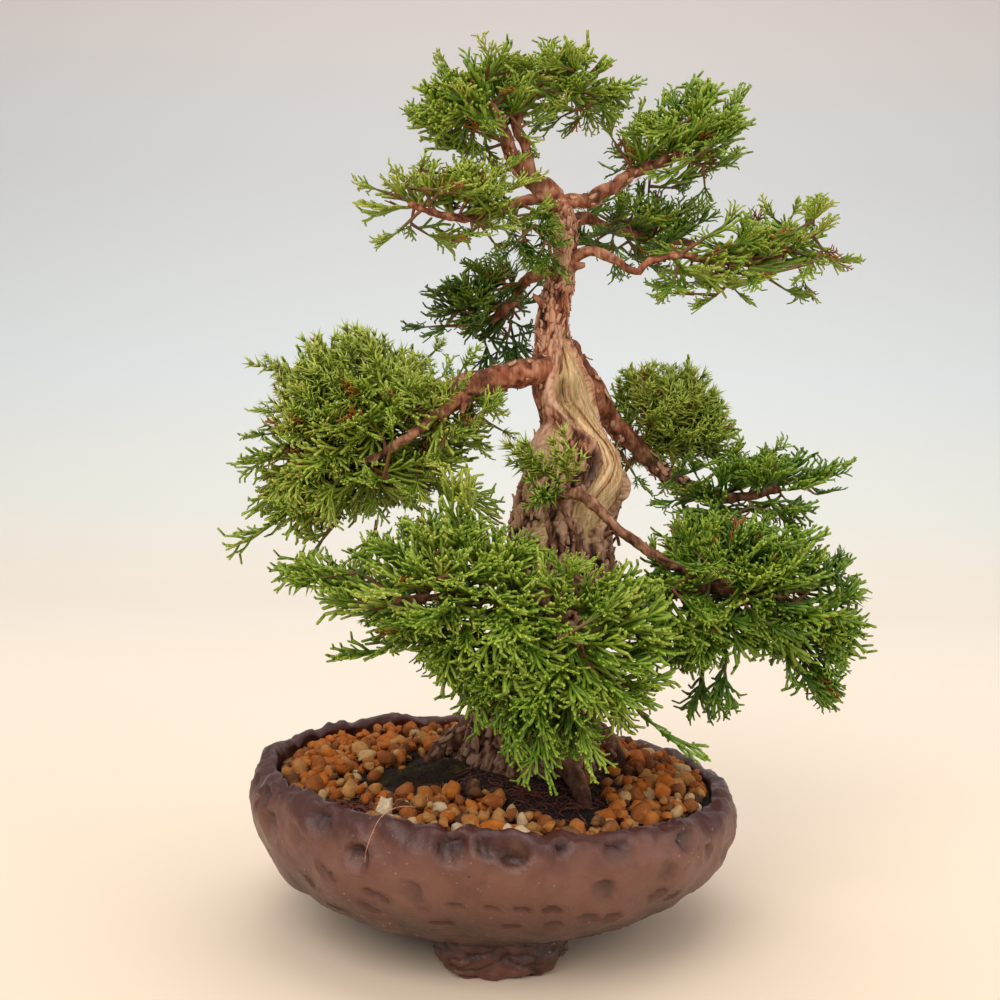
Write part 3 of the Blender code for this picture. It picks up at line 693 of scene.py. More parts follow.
def wall_radius(height):
    """The outer side's radius at this height."""
    outer = outline[:int(np.argmin(outline[:, 0] > DRAIN_RADIUS + 30))]
    return float(np.interp(height, outer[::-1, 1], outer[::-1, 0]))


def steep(values):
    """0 to 1 with soft ends."""
    values = np.clip(values, 0, 1)
    return values * values * (3 - 2 * values)


def pressed(points, angle_deg, height, half_u, half_v, turn_deg):
    """Distances from a mark's middle in its own half sizes, and how far towards its side u."""
    angle = math.radians(angle_deg)
    radius = wall_radius(height)
    centre = np.array([math.cos(angle) * radius, math.sin(angle) * radius, height])
    offset = points - centre
    near = np.linalg.norm(offset, axis=1) < 3 * max(half_u, half_v)
    along = offset @ np.array([-math.sin(angle), math.cos(angle), 0])
    up = np.sqrt(np.maximum((offset**2).sum(1) - along**2, 0)) * np.sign(offset[:, 2])
    turn = math.radians(turn_deg)
    u = (along * math.cos(turn) + up * math.sin(turn)) / half_u
    v = (-along * math.sin(turn) + up * math.cos(turn)) / half_v
    return np.where(near, np.hypot(u, v), 9.0), u, v


def clay_marks(points, outer):
    """How far each point of the wall moves along its normal, and how hollow it is."""
    move = np.zeros(len(points))
    hollow = np.zeros(len(points))
    for angle, height, radius, depth, deeper in ROUND_DENTS:
        q, u, v = pressed(points, angle, height, radius, radius * 0.94, 0)
        lean = u * math.cos(math.radians(deeper)) + v * math.sin(math.radians(deeper))
        bowl = steep((1.02 - q) / 0.26) * (0.62 + 0.6 * np.clip(lean, -1, 1))
        lip = np.exp(-(((q - 1.22) / 0.24) ** 2))
        move += outer * (-1.45 * depth * bowl + 0.34 * depth * lip)
        hollow += outer * bowl * min(1.0, depth / 1.6)
    for angle, height, half_u, half_v, depth, turn in SLITS:
        q, u, v = pressed(points, angle, height, half_u, half_v, turn)
        slot = steep((1.05 - q) / 0.5) * (0.8 + 0.4 * np.clip(v, -1, 1))
        lip = np.exp(-(((q - 1.3) / 0.3) ** 2))
        move += outer * (-1.7 * depth * slot + 0.3 * depth * lip)
        hollow += outer * slot
    return move, np.clip(hollow, 0, 1)


def rim_notches(points, share):
    """How far the rim is pressed down by each notch."""
    down = np.zeros(len(points))
    angles = np.degrees(np.arctan2(points[:, 1], points[:, 0]))
    for angle, half, depth in RIM_NOTCHES:
        along = (angles - angle + 180) % 360 - 180
        arc = np.radians(along) * POT_RADIUS / half
        down += depth * np.exp(-(arc**2)) * share
    return down


add_random_marks()
print(len(ROUND_DENTS), "dents,", len(SLITS), "slits,", len(RIM_NOTCHES), "notches")

# %% [markdown]
# The marks are worked out for all points at once. "share" runs from 0 at the pot's bottom to
# 1 at its rim: the rim's tilt acts on the top of the wall only. Finger waves and fine clay
# texture come last. Two values stay on the mesh for the paint: how hollow and how near the rim.

# %% The bowl


def make_bowl():
    """The bowl, how hollow each of its points lies, and where iron slip ran from the rim."""
    rows = len(outline)
    angles = np.linspace(0, math.tau, POT_AROUND, endpoint=False)
    radius = np.repeat(outline[:, 0], POT_AROUND)
    height = np.repeat(outline[:, 1], POT_AROUND)
    angle = np.tile(angles, rows)
    share = np.clip((height - POT_BOTTOM) / (RIM_HEIGHT - POT_BOTTOM), 0, 1)
    grip = np.clip((radius - DRAIN_RADIUS) / 40, 0, 1) * np.clip(share * 2.5, 0, 1)
    pinches = np.array([pinch_at(a, h) for a, h in zip(angle, height)])
    rises = np.tile([rim_rise(a) for a in angles], rows)
    radius = radius + grip * pinches
    plain = np.stack([np.cos(angle) * radius, np.sin(angle) * radius, height], 1)
    tangent = np.roll(outline, -1, axis=0) - np.roll(outline, 1, axis=0)
    normal = np.stack([-tangent[:, 1], tangent[:, 0]], 1)
    normal = np.repeat(unit(normal), POT_AROUND, axis=0)
    out = np.stack([np.cos(angle) * normal[:, 0], np.sin(angle) * normal[:, 0], normal[:, 1]], 1)
    position = np.repeat(np.arange(rows) / rows, POT_AROUND)
    outer_end = np.argmin(outline[:, 0] > DRAIN_RADIUS + 30) / rows
    outer = (position < outer_end).astype(float)
    move, hollow = clay_marks(plain, outer)
    rim = np.clip((share - 0.72) / 0.28, 0, 1)
    lumps = rough(plain, 8.5, shift=3)
    facets = rough(plain, 17.0, stretch=(1, 1, 0.7), shift=9)
    texture = rough(plain, 2.1, shift=5) + 0.6 * rough(plain, 0.95, shift=8)
    gritty = 1 + 1.8 * np.clip(1.3 - share * 3.2, 0, 1)
    inner = 1 - outer
    move += (0.95 * lumps + 1.05 * facets + 0.18 * gritty * texture) * (1 - 0.75 * inner)
    move -= 1.9 * rim * np.abs(rough(plain, 5.2, shift=21))
    move *= np.clip((radius - DRAIN_RADIUS - 2) / 6, 0, 1)
    points = plain + out * move[:, None]
    points[:, 2] += rises * share**2 - rim_notches(plain, rim**2)
    points[:, 2] += 1.5 * rim * rough(plain, 6.0, shift=31)
    bowl = mesh_object("pot", points, ring_faces(rows, POT_AROUND, closed=True))
    return bowl, hollow, rim * (0.4 + 0.6 * (1 - inner)) + 0.6 * rim * inner


bowl, bowl_hollow, bowl_rim = make_bowl()
print("bowl", triangles(bowl), "triangles")

# %% [markdown]
# Three feet carry the bowl. On the real pot each is a torn slab pressed on while wet, so it
# is rough and cracked where the bowl is smooth. Each is a lump on rings, flat below and a
# little wider at the top, shaken by three sizes of noise.

# %% The feet

FOOT_RING_RADIUS = 44.0
FOOT_SIZE = (41.0, 24.5, 13.8)
FOOT_ANGLES = {"front": -86.0, "back_right": 34.0, "back_left": 154.0}
FOOT_AROUND = 120
# From the middle of the underside to the middle of the top: share of the size, height
FOOT_OUTLINE = [(0.02, 0.0), (0.3, 0.0), (0.62, 0.0), (0.72, 0.02), (0.8, 0.1), (0.88, 0.28),
                (0.97, 0.5), (1.0, 0.68), (0.99, 0.82), (0.93, 0.93), (0.8, 1.0), (0.5, 1.02),
                (0.02, 1.02)]


def foot_points(angle_deg):
    """The points of a torn foot, its number of rows, and how hollow each point lies."""
    path = smooth_path([(r * 20, z * 14, 0) for r, z in FOOT_OUTLINE], 0.62)[:, :2]
    turn = np.linspace(0, math.tau, FOOT_AROUND, endpoint=False)
    share = np.repeat(path[:, 0] / 20, FOOT_AROUND)
    level = np.repeat(np.clip(path[:, 1] / 14, 0, 2), FOOT_AROUND)
    around = np.tile(turn, len(path))
    square = (np.abs(np.cos(around)) ** 3 + np.abs(np.sin(around)) ** 3) ** (-1 / 3)
    x = np.cos(around) * square * share * FOOT_SIZE[0] / 2
    y = np.sin(around) * square * share * FOOT_SIZE[1] / 2
    z = level * FOOT_SIZE[2]
    points = np.stack([x, y, z], 1)
    angle = math.radians(angle_deg)
    shift = angle_deg / 10
    out = unit(np.stack([x / FOOT_SIZE[0] ** 2, y / FOOT_SIZE[1] ** 2, 0 * z], 1))
    side = steep(share / 0.7)
    tear = 1.9 * rough(points, 7.0, shift=shift) + 1.0 * rough(points, 3.0, shift=shift)
    tear += 0.45 * rough(points, 1.3, shift=shift)
    fold = -1.2 * np.clip(1 - np.abs(rough(points, 9.0, (1, 1, 0.35), shift + 4)) * 9, 0, 1)
    points += out * ((tear + fold) * side)[:, None]
    lift = 0.9 * rough(points, 4.0, shift=shift + 2) * np.clip(level * 4, 0, 1)
    points[:, 2] = np.maximum(points[:, 2] + lift, 0)
    turned = angle + math.pi / 2
    x = points[:, 0] * math.cos(turned) - points[:, 1] * math.sin(turned)
    y = points[:, 0] * math.sin(turned) + points[:, 1] * math.cos(turned)
    middle = FOOT_RING_RADIUS
    points[:, 0] = x + middle * math.cos(angle)
    points[:, 1] = y + middle * math.sin(angle)
    return points, len(path), np.clip(-fold + 0.5 * np.clip(-tear, 0, 2), 0, 1)


def make_foot(side, angle_deg):
    """A foot, closed below and above."""
    points, rows, hollow = foot_points(angle_deg)
    faces = ring_faces(rows, FOOT_AROUND)
    faces.append(list(range(FOOT_AROUND))[::-1])
    faces.append([(rows - 1) * FOOT_AROUND + i for i in range(FOOT_AROUND)])
    return mesh_object("foot_" + side, points, faces), hollow


def joined(objects):
    """The objects' meshes in the first object."""
    with bpy.context.temp_override(active_object=objects[0], object=objects[0],
                                   selected_objects=objects, selected_editable_objects=objects):
        bpy.ops.object.join()
    return objects[0]


feet = [make_foot(side, angle) for side, angle in FOOT_ANGLES.items()]
# The hollow values are painted shade for the dents, slits and foot creases, read by the clay paint.
hollows = np.concatenate([bowl_hollow] + [hollow for foot, hollow in feet])
rims = np.concatenate([bowl_rim] + [np.zeros_like(hollow) for foot, hollow in feet])
pot = joined([bowl] + [foot for foot, hollow in feet])
outward(pot)
set_attribute(pot.data, "hollow", "FLOAT", hollows)
set_attribute(pot.data, "rim", "FLOAT", rims)
shade(pot)
print("pot with", len(feet), "feet:", triangles(pot), "triangles")

# %% [markdown]
# Fired without glaze, the clay is purple brown, burnished by the fingers to a dull shine.
# It is dark red at the rim, where iron slip ran down a little way, and warm and gritty near
# the foot. Painted light makes the belly paler and adds patches of sheen; painted shade darkens
# the underside of the bowl and the dents.

# %% Clay paint


def clay_material():
    """Purple brown clay, dark red at the rim, with painted light on the belly and painted shade
    below it and in the dents.
    """
    material, tree, shader, place = new_material("fired_clay", 0.5)
    height = node(tree, "ShaderNodeSeparateXYZ", {0: place}).outputs["Z"]
    wander = group(tree, BLOTCHES, {"Place": place, "Scale": 34.0, "Low": 0.3, "High": 0.7})
    level = times(tree, height, times(tree, wander, 0.010), "ADD")
    # Along the height this ramp is partly the clay's own colour and partly painted light and shade:
    # painted shade darkest on the underside of the bowl, painted light on the belly.
    body = colour_ramp(tree, between(tree, level, 0.004, 0.056), [
        (0.0, (104, 60, 46)), (0.1, (84, 44, 33)), (0.2, (48, 20, 11)), (0.42, (66, 32, 19)),
        (0.62, (102, 62, 47)), (0.78, (112, 70, 56)), (1.0, (90, 50, 39))])
    # Pale grey patches: a painted sheen.
    painted_sheen = group(tree, BLOTCHES, {"Place": place, "Scale": 75.0, "Low": 0.45, "High": 0.72})
    body = mixed(tree, times(tree, painted_sheen, 0.3), body, rgb(130, 92, 78))
    brown = group(tree, BLOTCHES, {"Place": place, "Scale": 120.0, "Low": 0.5, "High": 0.66})
    body = mixed(tree, times(tree, brown, 0.45), body, rgb(82, 42, 32))
    stretch = node(tree, "ShaderNodeMapping", {"Vector": place, "Scale": (1, 1, 0.35)})
    runs = group(tree, BLOTCHES, {"Place": stretch.outputs[0], "Scale": 95.0, "Low": 0.36,
                                  "High": 0.66})
    slip = between(tree, times(tree, stored(tree, "rim"), times(tree, runs, 0.75), "ADD"),
                   0.86, 1.16)
    body = mixed(tree, times(tree, slip, 0.85), body, rgb(66, 22, 17))
    # Painted shade in the dents, slits and creases of the feet.
    body = mixed(tree, times(tree, stored(tree, "hollow"), 0.78), body, rgb(38, 19, 14))
    dust = group(tree, SPECKS, {"Place": place, "Scale": 420.0, "Size": 0.16})
    body = mixed(tree, dust, body, rgb(196, 158, 128))
    grit = group(tree, SPECKS, {"Place": place, "Scale": 210.0, "Size": 0.12})
    body = mixed(tree, grit, body, rgb(42, 24, 18))
    tree.links.new(body, shader.inputs["Base Color"])
    polish = between(tree, wander, 0.0, 1.0, 0.34, 0.5)
    tree.links.new(polish, shader.inputs["Roughness"])
    shader.inputs["Specular IOR Level"].default_value = 0.55
    grain_bump(tree, shader, place, (420.0, 1700.0), 0.0006, 0.65)
    return material


pot.data.materials.append(clay_material())
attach(pot, "root")
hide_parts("pot")
print("pot painted")

# %% [markdown]
# Under the soil lie a plastic screen and the wire that holds it. Only the drain hole shows
# them, so the frame's own shapes stay and get real paint: matt black plastic with a fine
# moulded texture, and dull aluminium wire with scratches along it.

# %% Screen and clip paint


def screen_material():
    """Matt black plastic with dust on it."""
    material, tree, shader, place = new_material("screen_plastic", 0.55)
    dust = group(tree, BLOTCHES, {"Place": place, "Scale": 260.0, "Low": 0.4, "High": 0.75})
    colour = mixed(tree, dust, rgb(24, 24, 24), rgb(58, 46, 38))
    tree.links.new(colour, shader.inputs["Base Color"])
    tree.links.new(between(tree, dust, 0, 1, 0.45, 0.85), shader.inputs["Roughness"])
    grain_bump(tree, shader, place, (900.0, 3000.0), 0.0001, 0.5)
    return material


def wire_material():
    """Dull aluminium with stains."""
    material, tree, shader, place = new_material("clip_wire", 0.4)
    shader.inputs["Metallic"].default_value = 1.0
    stain = group(tree, BLOTCHES, {"Place": place, "Scale": 320.0, "Low": 0.35, "High": 0.7})
    colour = mixed(tree, stain, rgb(176, 170, 164), rgb(120, 104, 90))
    tree.links.new(colour, shader.inputs["Base Color"])
    tree.links.new(between(tree, stain, 0, 1, 0.32, 0.6), shader.inputs["Roughness"])
    grain_bump(tree, shader, place, (1200.0, 5000.0), 0.00005, 0.5)
    return material


for node_name, material in (("drain_screen", screen_material()), ("screen_clip", wire_material())):
    for slot in frame["nodes"][node_name].material_slots:
        slot.material = material
print("screen and clip painted")

# %% [markdown]
# ## Soil
#
# Dark crumbly soil mounds up round the trunk. Its surface is a disc of fine rings that follows
# the frame's height and is shaken by small noise; a skirt and a flat bottom close it. Some
# hundreds of crumbs lie on it, so the ground never looks like painted paper.

# %% The soil's surface

SOIL_EDGE = 45.5
SOIL_MOUND = 11.0
TRUNK_FOOT = (12.0, 2.0)
MOUND_SPREAD = 30.0
SOIL_AROUND = 260
SOIL_RINGS = 110


def soil_top(x, y):
    """Height of the soil: low at the wall, mounded round the trunk, a little uneven."""
    from_trunk = math.hypot(x - TRUNK_FOOT[0], y - TRUNK_FOOT[1])
    mound = SOIL_MOUND * math.exp(-((from_trunk / MOUND_SPREAD) ** 2))
    high_side = 0.55 * RIM_TILT * math.hypot(x, y) / POT_RADIUS
    tilt = high_side * math.cos(math.atan2(y, x) - RIM_HIGH_SIDE)
    return SOIL_EDGE + mound + tilt + 0.8 * noise.noise(Vector((x, y, 0)) / 11)


def soil_radius(angle):
    """Where the soil meets the wall."""
    return POT_RADIUS - WALL_THICKNESS + pinch_at(angle, RIM_HEIGHT) - 0.9


def make_soil():
    """The surface on rings, a skirt and a flat bottom."""
    angles = np.linspace(0, math.tau, SOIL_AROUND, endpoint=False)
    edge = np.array([soil_radius(angle) for angle in angles])
    shares = np.linspace(1 / SOIL_RINGS, 1, SOIL_RINGS)
    x = np.concatenate([np.cos(angles) * edge * share for share in shares])
    y = np.concatenate([np.sin(angles) * edge * share for share in shares])
    z = np.array([soil_top(a, b) for a, b in zip(x, y)])
    flat = np.stack([x, y, 0 * x], 1)
    z += 0.55 * rough(flat, 3.4, shift=4) + 0.38 * rough(flat, 1.5, shift=6)
    z += 0.3 * np.abs(rough(flat, 0.8, shift=8))
    top = np.stack([x, y, z], 1)
    skirt = [np.stack([np.cos(angles) * (edge - inset), np.sin(angles) * (edge - inset),
                       0 * angles + level], 1)
             for inset, level in ((0.6, 38), (1.6, 30), (8, 22.5), (26, 18), (60, 17.7))]
    points = np.vstack([top] + skirt)
    faces = ring_faces(SOIL_RINGS + len(skirt), SOIL_AROUND)
    faces.append(list(range(SOIL_AROUND))[::-1])
    last = (SOIL_RINGS + len(skirt) - 1) * SOIL_AROUND
    faces.append([last + i for i in range(SOIL_AROUND)])
    soil = mesh_object("soil", points, faces)
    outward(soil)
    return soil


def soil_material():
    """Dark soil with brown patches and grains of sand."""
    material, tree, shader, place = new_material("potting_soil", 0.88)
    patch = group(tree, BLOTCHES, {"Place": place, "Scale": 420.0, "Low": 0.35, "High": 0.7})
    colour = mixed(tree, patch, rgb(14, 8, 5), rgb(38, 22, 14))
    brown = group(tree, BLOTCHES, {"Place": place, "Scale": 90.0, "Low": 0.5, "High": 0.7})
    colour = mixed(tree, times(tree, brown, 0.5), colour, rgb(48, 29, 18))
    sand = group(tree, SPECKS, {"Place": place, "Scale": 620.0, "Size": 0.2})
    colour = mixed(tree, sand, colour, rgb(150, 112, 76))
    tree.links.new(colour, shader.inputs["Base Color"])
    grain_bump(tree, shader, place, (800.0, 2600.0), 0.0009, 0.9, 0.6)
    return material


SOIL = soil_material()
soil = make_soil()
soil.data.materials.append(SOIL)
shade(soil)
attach(soil, "root")
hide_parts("soil")
print("soil", triangles(soil), "triangles")

# %% [markdown]
# Stones and crumbs come from the same kind of template: a ball of a few dozen faces, pushed in
# by flat cuts so that it looks broken, not polished.

# %% Templates of broken lumps


def discard(collection):
    """Removes templates that have been set down."""
    for obj in list(collection.objects):
        bpy.data.objects.remove(obj)
    bpy.data.collections.remove(collection)


def broken_lump(name, fineness, squash, collection, pick):
    """A ball cut by random flats, about 1 mm in radius."""
    bm = bmesh.new()
    bmesh.ops.create_icosphere(bm, subdivisions=fineness, radius=1.0)
    flats = [(Vector([pick.gauss(0, 1) for _ in range(3)]).normalized(), pick.uniform(0.66, 0.92))
             for _ in range(9)]
    shift = Vector([pick.uniform(0, 50) for _ in range(3)])
    for vertex in bm.verts:
        place = vertex.co.copy()
        for way, reach in flats:
            over = place.dot(way) - reach
            if over > 0:
                place -= way * over * 0.92
        place *= 1 + 0.30 * noise.noise(place * 1.6 + shift) + 0.16 * noise.noise(place * 4 + shift)
        vertex.co = Vector((place.x * 1.14, place.y * 0.92, place.z * squash))
    mesh = bpy.data.meshes.new(name)
    bm.to_mesh(mesh)
    bm.free()
    mesh.shade_smooth()
    mesh.set_sharp_from_angle(angle=math.radians(52))
    obj = bpy.data.objects.new(name, mesh)
    collection.objects.link(obj)
    outward(obj)
    return obj


pick = random.Random(SEED + 5)
lumps = bpy.data.collections.new("lumps")
for number in range(7):
    broken_lump(f"lump_{number}", 2, pick.uniform(0.74, 0.95), lumps, pick)
crumb_shapes = bpy.data.collections.new("crumb_shapes")
for number in range(4):
    broken_lump(f"crumb_{number}", 1, pick.uniform(0.6, 0.9), crumb_shapes, pick)

# %% Crumbs on the soil


def make_crumbs():
    """Broken lumps of soil all over the surface."""
    rng = np.random.default_rng(SEED + 6)
    count = 2600
    angle = rng.uniform(0, math.tau, count)
    radius = 71 * np.sqrt(rng.random(count))
    x, y = np.cos(angle) * radius, np.sin(angle) * radius
    places = np.array([(a, b, soil_top(a, b) + 0.25) for a, b in zip(x, y)])
    aims = rng.normal(size=(count, 3))
    sides = rng.normal(size=(count, 3))
    sizes = rng.uniform(0.3, 0.95, count) * rng.uniform(0.6, 1.2, count)
    return scattered("soil_crumbs", places, aims, sides, sizes, rng.integers(0, 4, count),
                     crumb_shapes, SOIL)


crumbs = make_crumbs()
discard(crumb_shapes)
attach(crumbs, "root")
print("crumbs", triangles(crumbs), "triangles")

# %% [markdown]
# ## The loose stones
#
# The topping is akadama and lava: porous orange, ochre and brown pebbles, some cream pumice.
# They lie where they rolled. Each stone is dropped at a random spot, rests on the soil or on
# the highest stones it would touch, and is kept if it isn't stacked too high. The stones
# leave the soil bare round the trunk and in one drift in front of it.

# %% Drop the stones

STONE_TRIES = 5200
STONE_STACK = 5.2


def bare_soil(x, y):
    """More than 1 where stones keep away: round the trunk, in front of it, and over the moss."""
    foot = 1.25 - math.hypot((x - 8) / 37, (y + 2) / 30)
    drift = 1.35 - math.hypot((x - 17) / 17, (y + 32) / 19)
    tail = 1.2 - math.hypot((x + 24) / 25, (y + 16) / 13)
    gap = 1.0 - math.hypot((x - 24) / 8, (y + 50) / 12)
    rim_left = 1.1 - math.hypot((x + 47) / 12, (y + 48) / 10)
    ragged = 0.22 * noise.noise(Vector((x, y, 3)) / 9)
    return max(foot, drift, tail, gap, rim_left) + ragged


def drop_stones():
    """Each kept stone's place and radius, one after another."""
    rng = np.random.default_rng(SEED + 8)
    placed = []
    centres = np.zeros((0, 3))
    radii = np.zeros(0)
    for _ in range(STONE_TRIES):
        angle = rng.uniform(0, math.tau)
        radius_out = 70.5 * math.sqrt(rng.uniform(0.18, 1))
        size = rng.uniform(1.9, 3.6) if rng.random() < 0.72 else rng.uniform(1.1, 2.0)
        radius_out = min(radius_out, soil_radius(angle) - size - 0.4)
        x, y = math.cos(angle) * radius_out, math.sin(angle) * radius_out
        bare = bare_soil(x, y)
        if bare > 0.45 or (bare > 0.12 and rng.random() > 0.08):
            continue
        ground = soil_top(x, y)
        z = ground + size * 0.62
        if len(placed):
            flat = np.hypot(centres[:, 0] - x, centres[:, 1] - y)
            reach = (radii + size) * 0.86
            near = flat < reach
            if near.any():
                z = max(z, (centres[near, 2] + np.sqrt(reach[near]**2 - flat[near]**2)).max())
        if z - ground > STONE_STACK - 1.2 * (radius_out / 72):
            continue
        placed.append((x, y, z, size))
        centres = np.vstack([centres, (x, y, z)])
        radii = np.append(radii, size)
    return np.array(placed)


def stone_tones(stones, rng):
    """0 to 1 along the paint ramp: most are orange, the left front has more cream ones."""
    x, y = stones[:, 0], stones[:, 1]
    tones = rng.choice([0.06, 0.2, 0.36, 0.5, 0.64, 0.8, 0.95], size=len(stones),
                       p=[0.07, 0.2, 0.28, 0.24, 0.14, 0.05, 0.02])
    front_left = np.exp(-(((x + 28) / 24) ** 2 + ((y + 58) / 16) ** 2))
    right_rim = np.exp(-(((x - 60) / 14) ** 2 + ((y + 24) / 20) ** 2))
    lucky = rng.random(len(stones)) < 0.5 * front_left + 0.32 * right_rim
    tones = np.where(lucky, rng.uniform(0.74, 1.0, len(stones)), tones)
    return np.clip(tones + rng.normal(0, 0.035, len(stones)), 0, 1)


def stone_material():
    """Porous fired clay: brown, red orange, ochre, tan and cream along the tone."""
    material, tree, shader, place = new_material("fired_stones", 0.85)
    tone = stored(tree, "tone")
    colour = colour_ramp(tree, tone, [
        (0.0, (92, 62, 44)), (0.14, (136, 88, 52)), (0.3, (188, 104, 42)), (0.45, (208, 118, 44)),
        (0.55, (186, 122, 62)), (0.7, (204, 152, 90)), (0.82, (222, 186, 136)),
        (1.0, (232, 208, 172))])
    patch = group(tree, BLOTCHES, {"Place": place, "Scale": 520.0, "Low": 0.3, "High": 0.75})
    colour = mixed(tree, times(tree, patch, 0.38), colour, rgb(120, 68, 34), "MULTIPLY")
    light = group(tree, BLOTCHES, {"Place": place, "Scale": 300.0, "Low": 0.55, "High": 0.75})
    colour = mixed(tree, times(tree, light, 0.35), colour, rgb(236, 178, 112))
    pits = group(tree, SPECKS, {"Place": place, "Scale": 1100.0, "Size": 0.3})
    colour = mixed(tree, times(tree, pits, 0.7), colour, rgb(70, 38, 20))
    tree.links.new(colour, shader.inputs["Base Color"])
    shader.inputs["Specular IOR Level"].default_value = 0.2
    grain_bump(tree, shader, place, (620.0, 2200.0), 0.0009, 0.85, 0.6)
    return material


dropped = drop_stones()
rng = np.random.default_rng(SEED + 9)
stones = scattered("stones", dropped[:, :3], rng.normal(size=(len(dropped), 3)),
                   rng.normal(0, 0.35, (len(dropped), 3)) + np.array([0, 0, 1.0]),
                   dropped[:, 3] * 1.04, rng.integers(0, 7, len(dropped)), lumps,
                   stone_material(), {"tone": stone_tones(dropped, rng)})
discard(lumps)
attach(stones, "root")
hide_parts("stone_layer")
print(len(dropped), "stones,", triangles(stones), "triangles")

# %% [markdown]
# ## Moss and fine roots
#
# A cushion of moss has crept over the soil between the trunk and the stones on the left. Seen
# close it is a crowd of tiny dark tufts. Each tuft is a star of short spikes, and thousands of
# them stand on a low closed mound.

# %% The moss cushion

MOSS_CENTRE = (-23.0, -9.0)
MOSS_HALF = (15.5, 10.5)


def moss_height(x, y):
    """Height of the cushion, which sinks under the soil at its edge."""
    out = ((x - MOSS_CENTRE[0]) / MOSS_HALF[0]) ** 2 + ((y - MOSS_CENTRE[1]) / MOSS_HALF[1]) ** 2
    lump = noise.noise(Vector((x, y, 9)) / 3.2) + 0.5 * noise.noise(Vector((x, y, 2)) / 1.4)
    return soil_top(x, y) + (1.9 + 1.7 * lump) * max(0.0, 1 - out) ** 0.6 - 0.2


def make_moss_mound():
    """The closed mound that the tufts stand on."""
    around, rings = 96, 30
    points = []
    for ring in range(rings):
        share = (ring + 1) / rings
        for step in range(around):
            angle = math.tau * step / around
            ragged = 1 + 0.16 * noise.noise(Vector((math.cos(angle) * 2, math.sin(angle) * 2, 1)))
            x = MOSS_CENTRE[0] + math.cos(angle) * MOSS_HALF[0] * share * ragged
            y = MOSS_CENTRE[1] + math.sin(angle) * MOSS_HALF[1] * share * ragged
            points.append((x, y, moss_height(x, y)))
    for x, y, z in points[-around:]:
        points.append((MOSS_CENTRE[0] + (x - MOSS_CENTRE[0]) * 0.9,
                       MOSS_CENTRE[1] + (y - MOSS_CENTRE[1]) * 0.9, z - 2.5))
    faces = ring_faces(rings + 1, around)
    faces.append(list(range(around))[::-1])
    faces.append([rings * around + step for step in range(around)])
    mound = mesh_object("moss", points, faces)
    set_attribute(mound.data, "tip", "FLOAT", [0.15] * len(points))
    outward(mound)
    shade(mound)
    return mound


def tuft(name, collection, pick):
    """A star of five spikes, about 1 mm tall."""
    points, faces, tips = [], [], []
    for spike in range(5):
        turn = math.tau * spike / 5 + pick.uniform(-0.3, 0.3)
        lean = pick.uniform(0.25, 0.75) if spike else 0.05
        first = len(points)
        for corner in range(3):
            angle = math.tau * corner / 3 + turn
            points.append((math.cos(angle) * 0.2, math.sin(angle) * 0.2, 0.0))
            tips.append(0.1)
        points.append((math.cos(turn) * lean, math.sin(turn) * lean, pick.uniform(0.8, 1.15)))
        tips.append(1.0)
        faces += [(first, first + 1, first + 3), (first + 1, first + 2, first + 3),
                  (first + 2, first, first + 3), (first + 2, first + 1, first)]
    mesh = bpy.data.meshes.new(name)
    mesh.from_pydata(points, [], faces)
    set_attribute(mesh, "tip", "FLOAT", tips)
    obj = bpy.data.objects.new(name, mesh)
    collection.objects.link(obj)
    outward(obj)


def moss_material():
    """Dark brown moss, green in patches and paler at the tips."""
    material, tree, shader, place = new_material("dark_moss", 0.85)
    patch = group(tree, BLOTCHES, {"Place": place, "Scale": 190.0, "Low": 0.5, "High": 0.66})
    deep = mixed(tree, patch, rgb(22, 13, 7), rgb(30, 26, 9))
    light = mixed(tree, patch, rgb(58, 38, 20), rgb(92, 84, 28))
    colour = mixed(tree, stored(tree, "tip"), deep, light)
    tree.links.new(colour, shader.inputs["Base Color"])
    grain_bump(tree, shader, place, (900.0, 3000.0), 0.0006, 0.8)
    return material


def make_tufts():
    """Tufts all over the mound and a little beyond it."""
    rng = np.random.default_rng(SEED + 12)
    pick = random.Random(SEED + 12)
    shapes = bpy.data.collections.new("tuft_shapes")
    for number in range(4):
        tuft(f"tuft_{number}", shapes, pick)
    count = 3400
    angle = rng.uniform(0, math.tau, count)
    share = np.sqrt(rng.random(count)) * 1.05
    x = MOSS_CENTRE[0] + np.cos(angle) * MOSS_HALF[0] * share
    y = MOSS_CENTRE[1] + np.sin(angle) * MOSS_HALF[1] * share
    places = np.array([(a, b, max(moss_height(a, b), soil_top(a, b)) - 0.1)
                       for a, b in zip(x, y)])
    aims = np.stack([np.cos(angle * 7), np.sin(angle * 7), 0 * angle], 1)
    sides = rng.normal(0, 0.4, (count, 3)) + np.array([0, 0, 1.0])
    tufts = scattered("moss_tufts", places, aims, sides, rng.uniform(0.7, 1.7, count),
                      rng.integers(0, 4, count), shapes, MOSS)
    discard(shapes)
    return tufts


MOSS = moss_material()
moss = make_moss_mound()
moss.data.materials.append(MOSS)
tufts = make_tufts()
for piece in (moss, tufts):
    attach(piece, "root")
    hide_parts("moss")
print("moss", triangles(moss), "and tufts", triangles(tufts), "triangles")

# %% [markdown]
# Fine feeding roots, red brown and curly, break the surface in a mat at the front left rim and
# in threads round the trunk. One dry strand hangs over the rim. They are random walks near
# the ground, made into tubes.

# %% Fine roots

# Mats of roots: middle x, y, half size, number of roots, length, height above the soil
ROOT_MATS = [
    (-40, -48, 9, 95, 17, 3.2), (-28, -56, 6, 30, 12, 2.2), (12, -34, 17, 90, 16, 1.6),
    (30, -24, 13, 46, 15, 2.0), (-8, -20, 12, 36, 13, 1.4), (18, -55, 8, 24, 11, 1.6),
    (30, 28, 16, 34, 14, 1.6), (-20, 30, 16, 30, 14, 1.6),
]


